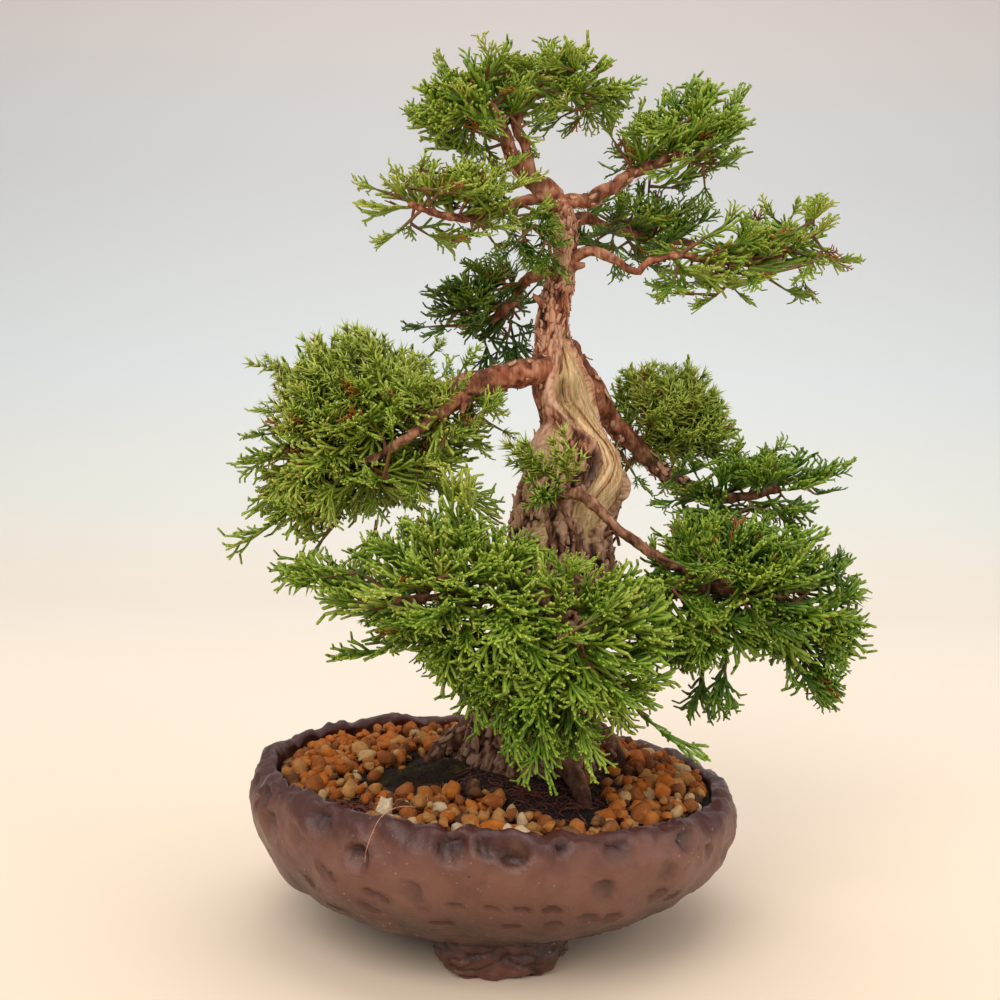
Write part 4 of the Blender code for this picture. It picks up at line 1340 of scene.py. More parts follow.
def root_walk(x, y, length, above, rng):
    """A random walk near the ground, which ends where it would leave the pot."""
    way = rng.uniform(0, math.tau)
    curl = rng.normal(0, 0.24)
    points = []
    height = rng.uniform(-0.2, above)
    for step in range(max(6, round(length / 1.1))):
        points.append((x, y, soil_top(x, y) + 0.35 + max(-0.3, height)))
        way += curl + rng.normal(0, 0.34)
        height += rng.normal(-0.06, 0.28)
        height = min(max(height, -0.3), above)
        x += 1.1 * math.cos(way)
        y += 1.1 * math.sin(way)
        if math.hypot(x, y) > 70.5:
            break
    return points


def over_rim(angle_deg, radius, above):
    """A path point near the rim, so far above its top."""
    angle = math.radians(angle_deg)
    return (math.cos(angle) * radius, math.sin(angle) * radius,
            RIM_HEIGHT + rim_rise(angle) + above, 0)


def make_roots():
    """All the walks and the dry strand as lines with a size and a tone."""
    rng = np.random.default_rng(SEED + 14)
    points, edges, sizes, tones = [], [], [], []
    walks = []
    for x, y, half, number, length, above in ROOT_MATS:
        for _ in range(number):
            walks.append((root_walk(x + rng.normal(0, half / 2), y + rng.normal(0, half / 2),
                                    length * rng.uniform(0.6, 1.2), above, rng),
                          rng.uniform(0.11, 0.24), rng.uniform(0.0, 0.8)))
    strand = smooth_path([over_rim(-110, 66, 0.4), over_rim(-111, 71, 1.8),
                          over_rim(-112, 76, 2.2), over_rim(-113, 80.8, 0.6),
                          over_rim(-114, 83.2, -4), over_rim(-114.8, 83.8, -8.5),
                          over_rim(-115.2, 83.2, -11.5)], 1.5)[:, :3]
    walks.append((strand.tolist(), 0.2, 1.0))
    for walk, size, tone in walks:
        if len(walk) < 3:
            continue
        first = len(points)
        points += walk
        sizes += np.linspace(size, size * 0.5, len(walk)).tolist()
        tones += [tone] * len(walk)
        edges += [(first + i, first + i + 1) for i in range(len(walk) - 1)]
    line = mesh_object("root_lines", points, [], edges)
    set_attribute(line.data, "size", "FLOAT", np.array(sizes) * MM)
    set_attribute(line.data, "tone", "FLOAT", tones)
    return line


def root_material():
    """Red brown threads with dirt; the dry strand is palest."""
    material, tree, shader, place = new_material("fine_roots", 0.65)
    colour = colour_ramp(tree, stored(tree, "tone"), [
        (0.0, (58, 22, 16)), (0.4, (104, 46, 32)), (0.8, (150, 84, 60)), (1.0, (206, 142, 104))])
    dirt = group(tree, BLOTCHES, {"Place": place, "Scale": 600.0, "Low": 0.45, "High": 0.7})
    colour = mixed(tree, times(tree, dirt, 0.6), colour, rgb(36, 20, 14))
    tree.links.new(colour, shader.inputs["Base Color"])
    grain_bump(tree, shader, place, (1500.0, 4000.0), 0.0001, 0.6)
    return material


roots = grown(make_roots(), TUBES, {"Sides": 4, "Relief": 0.05 * MM, "Relief Scale": 900.0,
                                    "Material": root_material()}, "fine_roots")
outward(roots)
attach(roots, "root")
print("fine roots", triangles(roots), "triangles")

# %% [markdown]
# ## The trunk
#
# The trunk is the heart of a bonsai: thick, lobed and bent, with rugged plates of bark low
# down, a smooth red vein of living wood higher up and, beside it, "shari", a strip stripped
# to bare wood long ago, bleached, grooved and rimmed by a roll of healing bark. A hollow at
# its upper end has gone green with algae.
#
# It is one sheet of points, rows up the trunk by columns round it, so each mark is easy to
# place by height and angle: -90 degrees faces the viewer and 0 points right.

# %% Trunk stations and the dead strip

# x, y, z, half width, half depth, as in the frame
TRUNK = [
    (12.0, 2.0, 40.0, 23.4, 21.4), (12.0, 2.0, 50.0, 24.0, 22.0), (12.5, 2.0, 62.0, 20.5, 19.0),
    (13.5, 2.0, 76.0, 17.8, 17.0), (16.5, 1.0, 90.0, 16.3, 15.5), (19.5, 0.0, 107.0, 17.4, 15.5),
    (20.8, 0.0, 119.0, 17.8, 15.5), (20.3, 0.0, 130.0, 16.8, 15.0), (21.8, 0.0, 140.0, 17.4, 14.5),
    (24.5, 0.0, 149.0, 16.8, 14.0), (25.2, 0.0, 157.0, 14.6, 13.0), (24.6, 0.0, 163.5, 11.4, 11.5),
    (22.4, 0.0, 169.5, 10.2, 10.6), (20.2, 0.0, 176.0, 10.0, 9.8), (19.4, 0.0, 182.0, 9.4, 9.0),
    (18.2, 0.0, 188.0, 7.4, 7.6), (16.9, 0.0, 194.0, 5.5, 6.0), (16.4, 0.0, 201.0, 5.2, 5.3),
    (17.6, 0.0, 209.0, 4.8, 4.8), (19.5, 0.0, 218.0, 4.1, 4.2), (20.3, 0.0, 227.0, 3.8, 3.9),
    (19.4, 0.0, 235.0, 4.0, 4.0), (18.0, 0.0, 241.0, 3.6, 3.6),
]
TRUNK_AROUND = 180
TRUNK_ROW = 0.55
# The dead strip: height, angle of its left edge, angle of its right edge
DEAD_STRIP = [
    (125, -54, -50), (132, -60, -46), (136, -80, -28), (141, -80, -14), (147, -66, 2),
    (154, -50, 12), (161, -56, 14), (167, -88, 10), (173, -108, 4), (180, -104, -4),
    (189, -80, -20), (195, -56, -42), (199, -52, -48),
]
HOLLOW = (176.5, -82, 4.4, 2.9)          # height, angle, half size, depth
GOUGE = (151.5, -68, 5.2, 2.4)           # the dark torn place beside the strip
LOW_PATCH = (131.5, -112, 3.4, 0.9)      # a small dead patch on the left
SHOULDER = (157.5, -146, 8.0, 3.2)       # the pale lobe of bark under the left branch


def around_mark(points, middle, angle, mark):
    """Distance in half sizes of each point of the trunk from a mark on its skin."""
    height, mark_angle, half, _ = mark
    across = np.radians((angle - mark_angle + 180) % 360 - 180)
    across *= np.linalg.norm(points[:, :2] - middle[:, :2], axis=1)
    return np.hypot(across, (points[:, 2] - height) * 0.85) / half


def cracks(points, scale, stretch, shift):
    """0 along the cracks between plates and 1 inside them, with a random height for each."""
    open_gap = np.zeros(len(points))
    plate = np.zeros(len(points))
    wander = 0.35 * rough(points, scale * 0.8, shift=shift + 3)
    scaled = points / scale / np.array([1, 1, stretch]) + shift + wander[:, None]
    for index, place in enumerate(scaled):
        distances, centres = noise.voronoi(Vector(place))
        open_gap[index] = distances[1] - distances[0]
        plate[index] = noise.noise(centres[0] * 3.1)
    return steep(open_gap / 0.22), plate


# %% [markdown]
# The masks come first: where wood is bare, how deep each torn place is, and how rugged the
# bark is at each height. Then every point moves out or in along its row. The masks stay on
# the mesh as attributes, so the paint finds the bare wood without any unwrapping.

# %% Shape the trunk


def make_trunk():
    """The trunk and what later cells need of it."""
    rows = smooth_path(TRUNK, TRUNK_ROW)
    count = len(rows)
    turn = np.linspace(-180, 180, TRUNK_AROUND, endpoint=False)
    angle = np.tile(turn, count)
    station = np.repeat(rows, TRUNK_AROUND, axis=0)
    height = station[:, 2]
    radians = np.radians(angle)
    lobes = (1 + 0.05 * np.cos(3 * radians + height / 22)
             + 0.035 * np.cos(5 * radians - height / 13))
    out = np.stack([np.cos(radians), np.sin(radians), 0 * radians], 1)
    points = station[:, :3].copy()
    points[:, 0] += np.cos(radians) * station[:, 3] * lobes
    points[:, 1] += np.sin(radians) * station[:, 4] * lobes
    radius = np.linalg.norm(points[:, :2] - station[:, :2], axis=1)

    strip = np.array(DEAD_STRIP, float)
    left = np.interp(height, strip[:, 0], strip[:, 1])
    right = np.interp(height, strip[:, 0], strip[:, 2])
    wave = 2.2 * rough(points, 6.0, shift=40)
    inside = np.minimum(angle - left, right - angle)
    inside = np.radians(inside) * radius + 0.3 * wave
    in_height = np.minimum(height - 127, 198 - height)
    inside = np.minimum(inside, in_height * 0.7)
    strip_dead = steep(inside / 0.9 + 0.5)
    roll = np.exp(-(((inside + 1.5) / 1.15) ** 2)) * steep(in_height / 5 + 0.6)
    low_patch = steep(1.4 - around_mark(points, station, angle, LOW_PATCH))
    dead = np.maximum(strip_dead, low_patch)

    share = (angle - left) / np.maximum(right - left, 8)
    flow = np.stack([share * 9, height / 26, 0 * share], 1)
    fine = np.stack([share * 26, height / 17, 0 * share + 5], 1)
    groove = -1.25 * np.abs(rough(flow, 1.0, shift=2)) - 0.7 * np.abs(rough(fine, 1.0, shift=7))

    rugged = np.interp(height, [40, 70, 128, 148, 160, 168, 188, 196, 212, 241],
                       [1.1, 1.2, 1.15, 1.0, 0.75, 0.3, 0.4, 0.8, 0.75, 0.55])
    small = np.interp(height, [40, 150, 200, 241], [1.0, 1.0, 0.55, 0.4])
    plates, plate = cracks(points, 4.6, 2.6, 11.0)
    shreds, shred = cracks(points, 2.0, 3.2, 23.0)
    ridge = 1 - np.abs(rough(points, 5.0, (1, 1, 3.4), 31)) * 2
    fibre = rough(points, 0.9, (1, 1, 6.0), 13)
    bark = (0.85 * (plates - 0.6) + 0.7 * plate + 0.62 * (shreds - 0.6) + 0.5 * shred
            + 0.6 * ridge) * small + 0.2 * fibre
    lumps = 1.1 * rough(points, 13.0, shift=17) + 0.7 * rough(points, 6.5, shift=19)

    hollow = steep(1.15 - around_mark(points, station, angle, HOLLOW))
    gouge = steep(1.25 - around_mark(points, station, angle, GOUGE) + 0.3 * shred)
    shoulder = steep(1.3 - around_mark(points, station, angle, SHOULDER))
    neck = np.exp(-(((height - 167) / 2.6) ** 2)) * steep((-70 - angle) / 26)
    neck += 0.8 * np.exp(-(((height - 149.5) / 1.8) ** 2)) * steep((-104 - angle) / 26)
    living = (1 - dead) * (1 - 0.55 * shoulder)
    move = living * rugged * bark + (1 - 0.6 * dead) * lumps * np.clip(radius / 12, 0.3, 1)
    move += dead * (-1.3 + 0.75 * groove) + 1.15 * roll * (1 - strip_dead)
    move -= HOLLOW[3] * hollow + GOUGE[3] * gouge
    move += SHOULDER[3] * shoulder - 2.0 * neck
    move *= np.clip((height - 40) / 6, 0, 1)
    points += out * move[:, None]
    points[:, 2] += 0.35 * living * shred * small

    faces = ring_faces(count, TRUNK_AROUND)
    faces.append(list(range(TRUNK_AROUND))[::-1])
    faces.append([(count - 1) * TRUNK_AROUND + i for i in range(TRUNK_AROUND)])
    trunk = mesh_object("trunk", points, faces)
    relief = 0.52 + 0.4 * (plates - 0.75) * rugged + 0.26 * plate + 0.24 * (shreds - 0.7)
    relief += 0.16 * fibre + 0.12 * ridge
    relief = np.where(dead > 0.5, 0.74 + 0.6 * groove, relief) + 0.12 * roll
    set_attribute(trunk.data, "relief", "FLOAT", np.clip(relief, 0, 1))
    set_attribute(trunk.data, "dead", "FLOAT", dead)
    set_attribute(trunk.data, "algae", "FLOAT", np.clip(
        strip_dead * (0.9 * steep((height - 165) / 6) * steep((194 - height) / 6)
                      * (0.5 + 0.6 * hollow) + 0.35 * steep((148 - height) / 6)), 0, 1))
    # The torn mask darkens the torn gouge and paints shade in the hollow and the creased neck.
    set_attribute(trunk.data, "torn", "FLOAT", np.clip(gouge + 0.8 * hollow + 0.5 * neck, 0, 1))
    set_attribute(trunk.data, "pale", "FLOAT", np.clip(shoulder + 0.6 * roll, 0, 1))
    outward(trunk)
    return trunk, points, out, dead


trunk, trunk_points, trunk_out, trunk_dead = make_trunk()
print("trunk", triangles(trunk), "triangles")

# %% [markdown]
# Bark paint follows the relief: nearly black in the cracks, red brown on the slopes, pinkish
# grey on the ridges that weather first. Living veins are redder. Bare wood is cream to ochre
# along its grain, with algae green where water stays.

# %% Bark and bare wood paint


def bark_material():
    """Rugged bark, the red vein and the bare wood, told apart by the stored masks."""
    material, tree, shader, place = new_material("juniper_bark", 0.78)
    height = node(tree, "ShaderNodeSeparateXYZ", {0: place}).outputs["Z"]
    relief = stored(tree, "relief")
    along = node(tree, "ShaderNodeMapping", {"Vector": place, "Scale": (1, 1, 0.22)}).outputs[0]
    streaks = group(tree, BLOTCHES, {"Place": along, "Scale": 900.0, "Low": 0.3, "High": 0.7})
    level = times(tree, relief, between(tree, streaks, 0, 1, -0.10, 0.12), "ADD")
    rugged = colour_ramp(tree, level, [
        (0.14, (22, 11, 7)), (0.36, (66, 38, 26)), (0.5, (112, 72, 50)), (0.64, (158, 114, 86)),
        (0.82, (200, 160, 132))])
    vein = colour_ramp(tree, level, [
        (0.14, (36, 16, 9)), (0.36, (96, 48, 30)), (0.5, (146, 84, 58)),
        (0.64, (180, 124, 94)), (0.84, (214, 170, 142))])
    red = between(tree, height, 0.156, 0.166)
    patch = group(tree, BLOTCHES, {"Place": place, "Scale": 120.0, "Low": 0.4, "High": 0.7})
    living = mixed(tree, times(tree, red, times(tree, patch, 0.35, "ADD")), rugged, vein)
    # Darker towards the foot of the trunk, below 75 mm.
    darker_low = between(tree, height, 0.075, 0.05)
    living = mixed(tree, times(tree, darker_low, 0.6), living, rgb(52, 26, 20))
    living = mixed(tree, times(tree, stored(tree, "pale"), 0.55), living, rgb(206, 168, 142))
    fibres = node(tree, "ShaderNodeMapping", {"Vector": place, "Scale": (1, 1, 0.12)}).outputs[0]
    wood_grain = group(tree, BLOTCHES, {"Place": fibres, "Scale": 1500.0, "Low": 0.25,
                                        "High": 0.75})
    wood_level = times(tree, relief, between(tree, wood_grain, 0, 1, -0.16, 0.16), "ADD")
    bare = colour_ramp(tree, wood_level, [
        (0.1, (66, 44, 28)), (0.3, (140, 102, 66)), (0.46, (192, 152, 106)),
        (0.62, (224, 190, 146)), (0.85, (246, 222, 184))])
    green = group(tree, BLOTCHES, {"Place": along, "Scale": 330.0, "Low": 0.36, "High": 0.62})
    algae = times(tree, stored(tree, "algae"), green)
    bare = mixed(tree, algae, bare, rgb(112, 104, 44), "MULTIPLY")
    bare = mixed(tree, times(tree, algae, 0.5), bare, rgb(118, 110, 52))
    body = mixed(tree, stored(tree, "dead"), living, bare)
    # Darker in the torn gouge, with painted shade in the hollow and the creased neck.
    body = mixed(tree, times(tree, stored(tree, "torn"), 0.5), body, rgb(46, 26, 16))
    tree.links.new(body, shader.inputs["Base Color"])
    tree.links.new(between(tree, relief, 0, 1, 0.9, 0.62), shader.inputs["Roughness"])
    shader.inputs["Specular IOR Level"].default_value = 0.3
    grain_bump(tree, shader, along, (900.0, 3200.0), 0.0004, 0.7, 0.5)
    return material


BARK = bark_material()
trunk.data.materials.append(BARK)
shade(trunk)
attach(trunk, "root")
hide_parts("trunk_and_branches")

# %% [markdown]
# The branches follow the frame's paths. A little wobble keeps them from being hoses, their
# first few millimetres swell where they leave the trunk, and the tubes tree pushes the skin
# in and out. Roots and a few dead stubs are branches too.

# %% Branches, roots and stubs

LIMBS = {
    "left": [(19, 0, 184, 5.2), (14, -4, 185, 4.9), (5, -8, 183, 4.5), (-4, -10, 180, 4.3),
             (-13, -12, 177, 4.0), (-20, -12, 173, 3.5), (-33, -12, 170, 2.8),
             (-50, -11, 168, 2.1), (-66, -10, 163, 1.4)],
    "left_low": [(-11, -12, 177, 2.4), (-18, -18, 170, 2.1), (-28, -24, 162, 1.7),
                 (-42, -26, 153, 1.2)],
    "back_left": [(18, 2, 217, 2.4), (12, 8, 218, 2.1), (7, 15, 216, 1.9), (3, 20, 210, 1.8),
                  (-5, 24, 204, 1.6), (-17, 28, 202, 1.2)],
    "upper_left": [(17, 0, 240, 2.2), (11, -4, 241, 1.9), (2, -11, 237, 1.7), (-11, -16, 232, 1.5),
                   (-20, -18, 232, 1.3), (-31, -20, 235, 1.0)],
    "leader": [(18, 0, 238, 3.8), (13, 0, 244.5, 3.3), (4.5, -2, 250, 2.8), (0.5, -4, 257, 2.4),
               (-1.5, -6, 263, 1.9), (-6, -8, 270, 1.4), (-12, -8, 277, 1.0)],
    "leader_loop": [(8, -1, 247.5, 2.0), (6.5, -4, 257, 1.7), (3, -6, 265, 1.6), (7, -4, 273, 1.3),
                    (17, 0, 278, 1.1), (27, 2, 281, 0.9)],
    "upper_right": [(18, 0, 238, 3.0), (21, 0, 241, 2.6), (28, 2, 242, 2.3), (36, 4, 247, 2.1),
                    (45, 6, 253, 1.9), (57, 7, 258, 1.5), (68, 7, 267, 1.1)],
    "mid_right": [(20, 1, 232, 2.6), (26, 8, 237, 2.1), (34, 14, 236, 1.9), (50, 20, 232.5, 1.5),
                  (66, 22, 232, 1.1)],
    "far_right": [(20, 0, 221, 2.3), (24, -3, 222.5, 1.9), (30, -6, 223.5, 1.6),
                  (36, -8, 220.5, 1.4), (43, -8, 217, 1.3), (47, -8, 220, 1.3),
                  (57, -8, 222.5, 1.2), (71, -7, 221, 1.1), (91, -5, 224, 1.0),
                  (103, -4, 232, 0.8)],
    "back_right": [(21, 3, 190, 4.6), (28, 10, 184, 4.2), (34, 16, 176, 3.9), (40, 22, 167.5, 3.6),
                   (50, 27, 158.5, 3.2), (58, 28, 151.5, 2.8), (70, 20, 145, 2.4),
                   (82, 9, 143, 1.9), (95, 3, 146, 1.3)],
    "front_twig": [(17, -10, 142, 2.1), (18.5, -20, 143.5, 1.9), (24, -26, 144.5, 1.8),
                   (31, -29, 139, 1.7), (37.5, -30, 133.5, 1.6), (44, -28, 128.5, 1.6),
                   (56, -25, 122, 1.3), (72, -22, 117, 1.0)],
    "front": [(17, -8, 112, 3.6), (10, -26, 112, 2.6), (1, -40, 113, 1.9), (-13, -48, 114, 1.4),
              (-30, -50, 112, 1.0)],
    "front_right": [(10, -26, 112, 2.4), (17, -42, 108, 1.9), (25, -50, 100, 1.4)],
    "right_low": [(26, -4, 110, 3.2), (40, -8, 109, 2.7), (56, -13, 112, 2.2), (72, -16, 114, 1.8),
                  (92, -18, 112, 1.2)],
}
ROOTS_AND_STUBS = {
    "root_left": [(6, 3, 70, 7.5), (-4, 6, 64, 5.2), (-13, 8, 57, 3.8), (-21, 9, 50, 2.8),
                  (-27, 9, 43, 2.0)],
    "root_back": [(13, 10, 66, 7.0), (9, 24, 60, 4.6), (5, 33, 53, 3.2), (3, 39, 45, 2.0)],
    "root_right": [(22, 5, 66, 7.0), (33, 9, 60, 4.8), (41, 12, 53, 3.4), (47, 14, 45, 2.2)],
    "root_front": [(17, -8, 64, 7.0), (22, -20, 58, 4.2), (27, -28, 51, 3.0), (30, -34, 44, 2.0)],
    "stub_right": [(20, -1, 217, 1.5), (23.5, -3, 219, 1.2), (26.5, -4, 219.4, 0.7)],
    "stub_left": [(14, -2, 206, 1.3), (11, -3, 208, 1.0), (9.5, -3, 209, 0.6)],
    "dead_twig_right": [(19, -18, 142, 0.9), (22, -21, 135, 0.8), (25, -20.5, 130, 0.7),
                        (26, -19, 124, 0.5)],
    "dead_twig_left": [(15, -17, 139, 0.8), (15.5, -20, 133, 0.7), (17, -20.5, 128, 0.5)],
    "dead_twig_low": [(10, -15, 128, 0.8), (13, -19, 123, 0.7), (11, -22, 118, 0.5)],
    "snag": [(33, -6, 129, 1.0), (38, -9, 131, 0.8), (39.5, -10, 127, 0.5)],
    "branch_peg": [(-9, -12, 176, 1.3), (-12, -17, 172, 1.0), (-13, -19, 169, 0.6)],
}
BRANCH_STEP = 1.0
SWELL = 5.0


def branch_lines(paths):
    """All the paths as lines with a size; each wobbles, and is thicker at its root."""
    points, edges, sizes = [], [], []
    for number, stations in enumerate(paths.values()):
        path = smooth_path(stations, BRANCH_STEP)
        run = np.arange(len(path)) * BRANCH_STEP
        wobble = np.stack([rough(path[:, :3], 8.0, shift=number + axis) for axis in range(3)], 1)
        knots = 1 + 0.16 * rough(path[:, :3], 4.5, shift=number + 50)
        fade = np.clip(run / 6, 0, 1)[:, None]
        places = path[:, :3] + wobble * fade * path[:, 3:4] * 0.35
        flare = 1 + 0.32 * np.exp(-run / SWELL)
        first = len(points)
        points += places.tolist()
        sizes += (path[:, 3] * knots * flare).tolist()
        edges += [(first + i, first + i + 1) for i in range(len(path) - 1)]
    line = mesh_object("branch_lines", points, [], edges)
    set_attribute(line.data, "size", "FLOAT", np.array(sizes) * MM)
    return line


branches = grown(branch_lines({**LIMBS, **ROOTS_AND_STUBS}), TUBES, {
    "Sides": 18, "Relief": 2.0 * MM, "Relief Scale": 330.0, "Material": BARK}, "branches")
outward(branches)
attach(branches, "root")
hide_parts("trunk_and_branches")
print("branches", triangles(branches), "triangles")

# %% [markdown]
# Old bark lifts off in curled flakes. A flake is a thin bent plate, and the same few plates
# are set down on the trunk and on the thick branches, standing off at one end.

# %% Loose flakes of bark


def flake(name, length, width, curl, collection, pick):
    """A thin closed plate with a ragged outline that bends up towards its ends."""
    points, faces = [], []
    columns, rows = 4, 3
    for side in (0, 1):
        for row in range(rows):
            for column in range(columns):
                u = column / (columns - 1) - 0.5
                v = row / (rows - 1) - 0.5
                taper = 1 - 1.1 * abs(u) ** 1.5 + pick.uniform(-0.12, 0.12)
                lift = curl * (2 * u) ** 2 - 0.5 * width * (2 * v) ** 2 * 0.3
                points.append((u * length, v * width * taper, lift + (0.28 if side else 0)))
    layer = rows * columns
    for row in range(rows - 1):
        for column in range(columns - 1):
            a = row * columns + column
            quad = (a, a + 1, a + columns + 1, a + columns)
            faces.append(quad[::-1])
            faces.append(tuple(index + layer for index in quad))
    rim = ([column for column in range(columns)]
           + [row * columns + columns - 1 for row in range(1, rows)]
           + [(rows - 1) * columns + column for column in range(columns - 2, -1, -1)]
           + [row * columns for row in range(rows - 2, 0, -1)])
    for a, b in zip(rim, rim[1:] + rim[:1]):
        faces.append((a, b, b + layer, a + layer))
    mesh = bpy.data.meshes.new(name)
    mesh.from_pydata(points, [], faces)
    set_attribute(mesh, "relief", "FLOAT", [0.42 + 0.3 * (i >= layer) for i in range(2 * layer)])
    mesh.shade_smooth()
    obj = bpy.data.objects.new(name, mesh)
    collection.objects.link(obj)
    outward(obj)


def flake_spots(rng):
    """Points on the trunk and thick branches with the way out and the way along."""
    living = np.flatnonzero((trunk_dead < 0.05) & (trunk_points[:, 2] > 58))
    weight = np.interp(trunk_points[living, 2], [58, 130, 160, 170, 186, 194, 215, 240],
                       [1, 1.5, 1.3, 0.25, 0.35, 1.2, 1.2, 0.7])
    chosen = rng.choice(living, size=620, replace=False, p=weight / weight.sum())
    spots = [(trunk_points[i], trunk_out[i], np.array([0, 0, 1.0])) for i in chosen]
    for limb in ("left", "back_right", "leader", "upper_right", "root_left", "root_right"):
        path = smooth_path({**LIMBS, **ROOTS_AND_STUBS}[limb], 1.0)
        ways = unit(np.gradient(path[:, :3], axis=0))
        for _ in range(34):
            i = rng.integers(2, len(path) * 3 // 4)
            out = unit(np.cross(ways[i], rng.normal(size=3)))
            spots.append((path[i, :3] + out * path[i, 3] * 1.08, out, ways[i]))
    return spots


def make_flakes():
    """The flakes and the collection of their templates."""
    rng = np.random.default_rng(SEED + 20)
    pick = random.Random(SEED + 3)
    shapes = bpy.data.collections.new("flake_shapes")
    for number, (length, width, curl) in enumerate(((4.2, 1.9, 0.5), (3.0, 1.5, 0.7),
                                                    (5.2, 1.6, 0.4), (2.4, 2.0, 0.4))):
        flake(f"flake_{number}", length, width, curl, shapes, pick)
    spots = flake_spots(rng)
    lean = rng.normal(0.12, 0.14, (len(spots), 1))
    sway = rng.normal(0, 0.3, (len(spots), 1))
    outs = np.array([out for place, out, way in spots])
    ways = np.array([way for place, out, way in spots])
    across = np.cross(outs, ways)
    aims = ways + across * sway + outs * lean
    small = np.interp([place[2] for place, out, way in spots], [60, 150, 200], [1.15, 1.0, 0.7])
    places = np.array([place for place, out, way in spots]) + outs * 0.12
    sizes = small * rng.uniform(0.6, 1.25, len(spots))
    made = scattered("bark_flakes", places, aims, outs, sizes,
                     rng.integers(0, 4, len(spots)), shapes, BARK)
    return made, shapes


flakes, flake_shapes = make_flakes()
discard(flake_shapes)
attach(flakes, "root")
print("flakes", triangles(flakes), "triangles")

# %% [markdown]
# ## The leaves
#
# A juniper like this carries two kinds of leaf. Most shoots are thin cords wrapped in tiny
# scales, forked again and again in one plane, with round bright tips. Strong young shoots
# carry short sharp needles instead. Millions of single leaves would be too much to model or
# export, so each template is a whole spray, about a finger-nail long, and the pads are
# some hundreds of sprays set along shoots that really grow from the branches.
#
# Every template point stores "tip", from 0 at the base to 1 at the growing end, which the
# paint turns from deep green to bright yellow green.

# %% Build a spray from cords


class Spray:
    """Points and faces of a template, in millimetres, growing along X with Z up."""

    def __init__(self):
        self.points = []
        self.faces = []
        self.tips = []
        self.rounds = []

    def cord(self, path, radii, tips, sides=4, flat=1.0):
        """A tube along path, closed at its base and drawn together at its end."""
        path = np.asarray(path, float)
        tangent = unit(np.gradient(path, axis=0))
        across = unit(np.cross(tangent, [0.02, 0.05, 1.0]))
        above = np.cross(across, tangent)
        first = len(self.points)
        for row in range(len(path) - 1):
            for corner in range(sides):
                angle = math.tau * (corner + 0.5) / sides
                offset = across[row] * math.cos(angle) + above[row] * math.sin(angle) * flat
                self.points.append(path[row] + offset * radii[row])
                self.tips.append(tips[row])
                self.rounds.append(corner / sides)
        self.points.append(path[-1])
        self.tips.append(tips[-1])
        self.rounds.append(0.5)
        end = len(self.points) - 1
        for row in range(len(path) - 2):
            for corner in range(sides):
                a = first + row * sides + corner
                b = first + row * sides + (corner + 1) % sides
                self.faces.append((a, b, b + sides, a + sides))
        last = first + (len(path) - 2) * sides
        for corner in range(sides):
            self.faces.append((last + corner, last + (corner + 1) % sides, end))
        self.faces.append([first + corner for corner in range(sides)][::-1])

    def made(self, name, collection):
        """The template as an object in the collection."""
        mesh = bpy.data.meshes.new(name)
        mesh.from_pydata([tuple(point) for point in self.points], [], self.faces)
        set_attribute(mesh, "tip", "FLOAT", self.tips)
        set_attribute(mesh, "around", "FLOAT", self.rounds)
        mesh.shade_smooth()
        obj = bpy.data.objects.new(name, mesh)
        collection.objects.link(obj)
        outward(obj)
        return obj


BLUNT = 0.55


def cord_path(start, aim, length, steps, lift, bend=0.0):
    """A short path from start along aim that curves up by lift and sideways by bend."""
    aim = unit(aim)
    side = unit(np.cross([0, 0, 1], aim))
    t = np.append(np.linspace(0, 1 - BLUNT / length, steps - 1), 1)[:, None]
    return (np.asarray(start) + aim * length * t + np.array([0, 0, 1.0]) * lift * length * t**2
            + side * bend * length * t**2)


def swelling(steps, thin, thick):
    """Radii along a cord, which is a little thicker towards its blunt end."""
    radii = np.linspace(thin, thick, steps)
    radii[-2] = thick * 0.8
    return radii


CORD = 0.72


def scale_spray(length, pairs, pick, forks=True, droop=0.0):
    """A forked cord of scale leaves: the stem, side cords that lean forward, and their forks."""
    spray = Spray()
    steps = max(5, round(length / 3.0) + 1)
    stem = cord_path((0, 0, 0), (1, 0, 0.05), length, steps, 0.16 - droop, pick.uniform(-0.1, 0.1))
    spray.cord(stem, swelling(steps, CORD * 0.92, CORD * 1.12), np.linspace(0.1, 1, steps))
    for number in range(pairs):
        share = 0.12 + 0.72 * (number + 0.5 * pick.random()) / pairs
        place = share * (steps - 1)
        low = int(place)
        start = stem[low] + (stem[low + 1] - stem[low]) * (place - low)
        side = 1 if number % 2 else -1
        turn = math.radians(pick.uniform(33, 48) - 8 * share) * side
        rise = pick.uniform(-0.12, 0.3)
        aim = (math.cos(turn), math.sin(turn), rise)
        reach = (0.22 + 0.42 * math.sin(math.pi * min(1, share * 1.05 + 0.12))) * length * 0.92
        reach *= pick.uniform(0.8, 1.15)
        pieces = max(3, round(reach / 3.2) + 1)
        path = cord_path(start, aim, reach, pieces, 0.14 - droop, -0.15 * side)
        from_tip = 0.15 + 0.45 * share
        spray.cord(path, swelling(pieces, CORD * 0.86, CORD * 1.1),
                   np.linspace(from_tip, 1, pieces))
        if forks and reach > 4.5:
            for fork in (0.42, 0.68):
                if pick.random() < 0.3:
                    continue
                place = fork * (pieces - 1)
                low = int(place)
                base = path[low] + (path[low + 1] - path[low]) * (place - low)
                way = turn + math.radians(pick.uniform(30, 42)) * (1 if fork > 0.5 else -1) * side
                twig = reach * pick.uniform(0.32, 0.5)
                short = cord_path(base, (math.cos(way), math.sin(way), rise + 0.1), twig, 3, 0.12)
                spray.cord(short, swelling(3, CORD * 0.85, CORD), np.linspace(0.5, 1, 3), sides=3)
    return spray


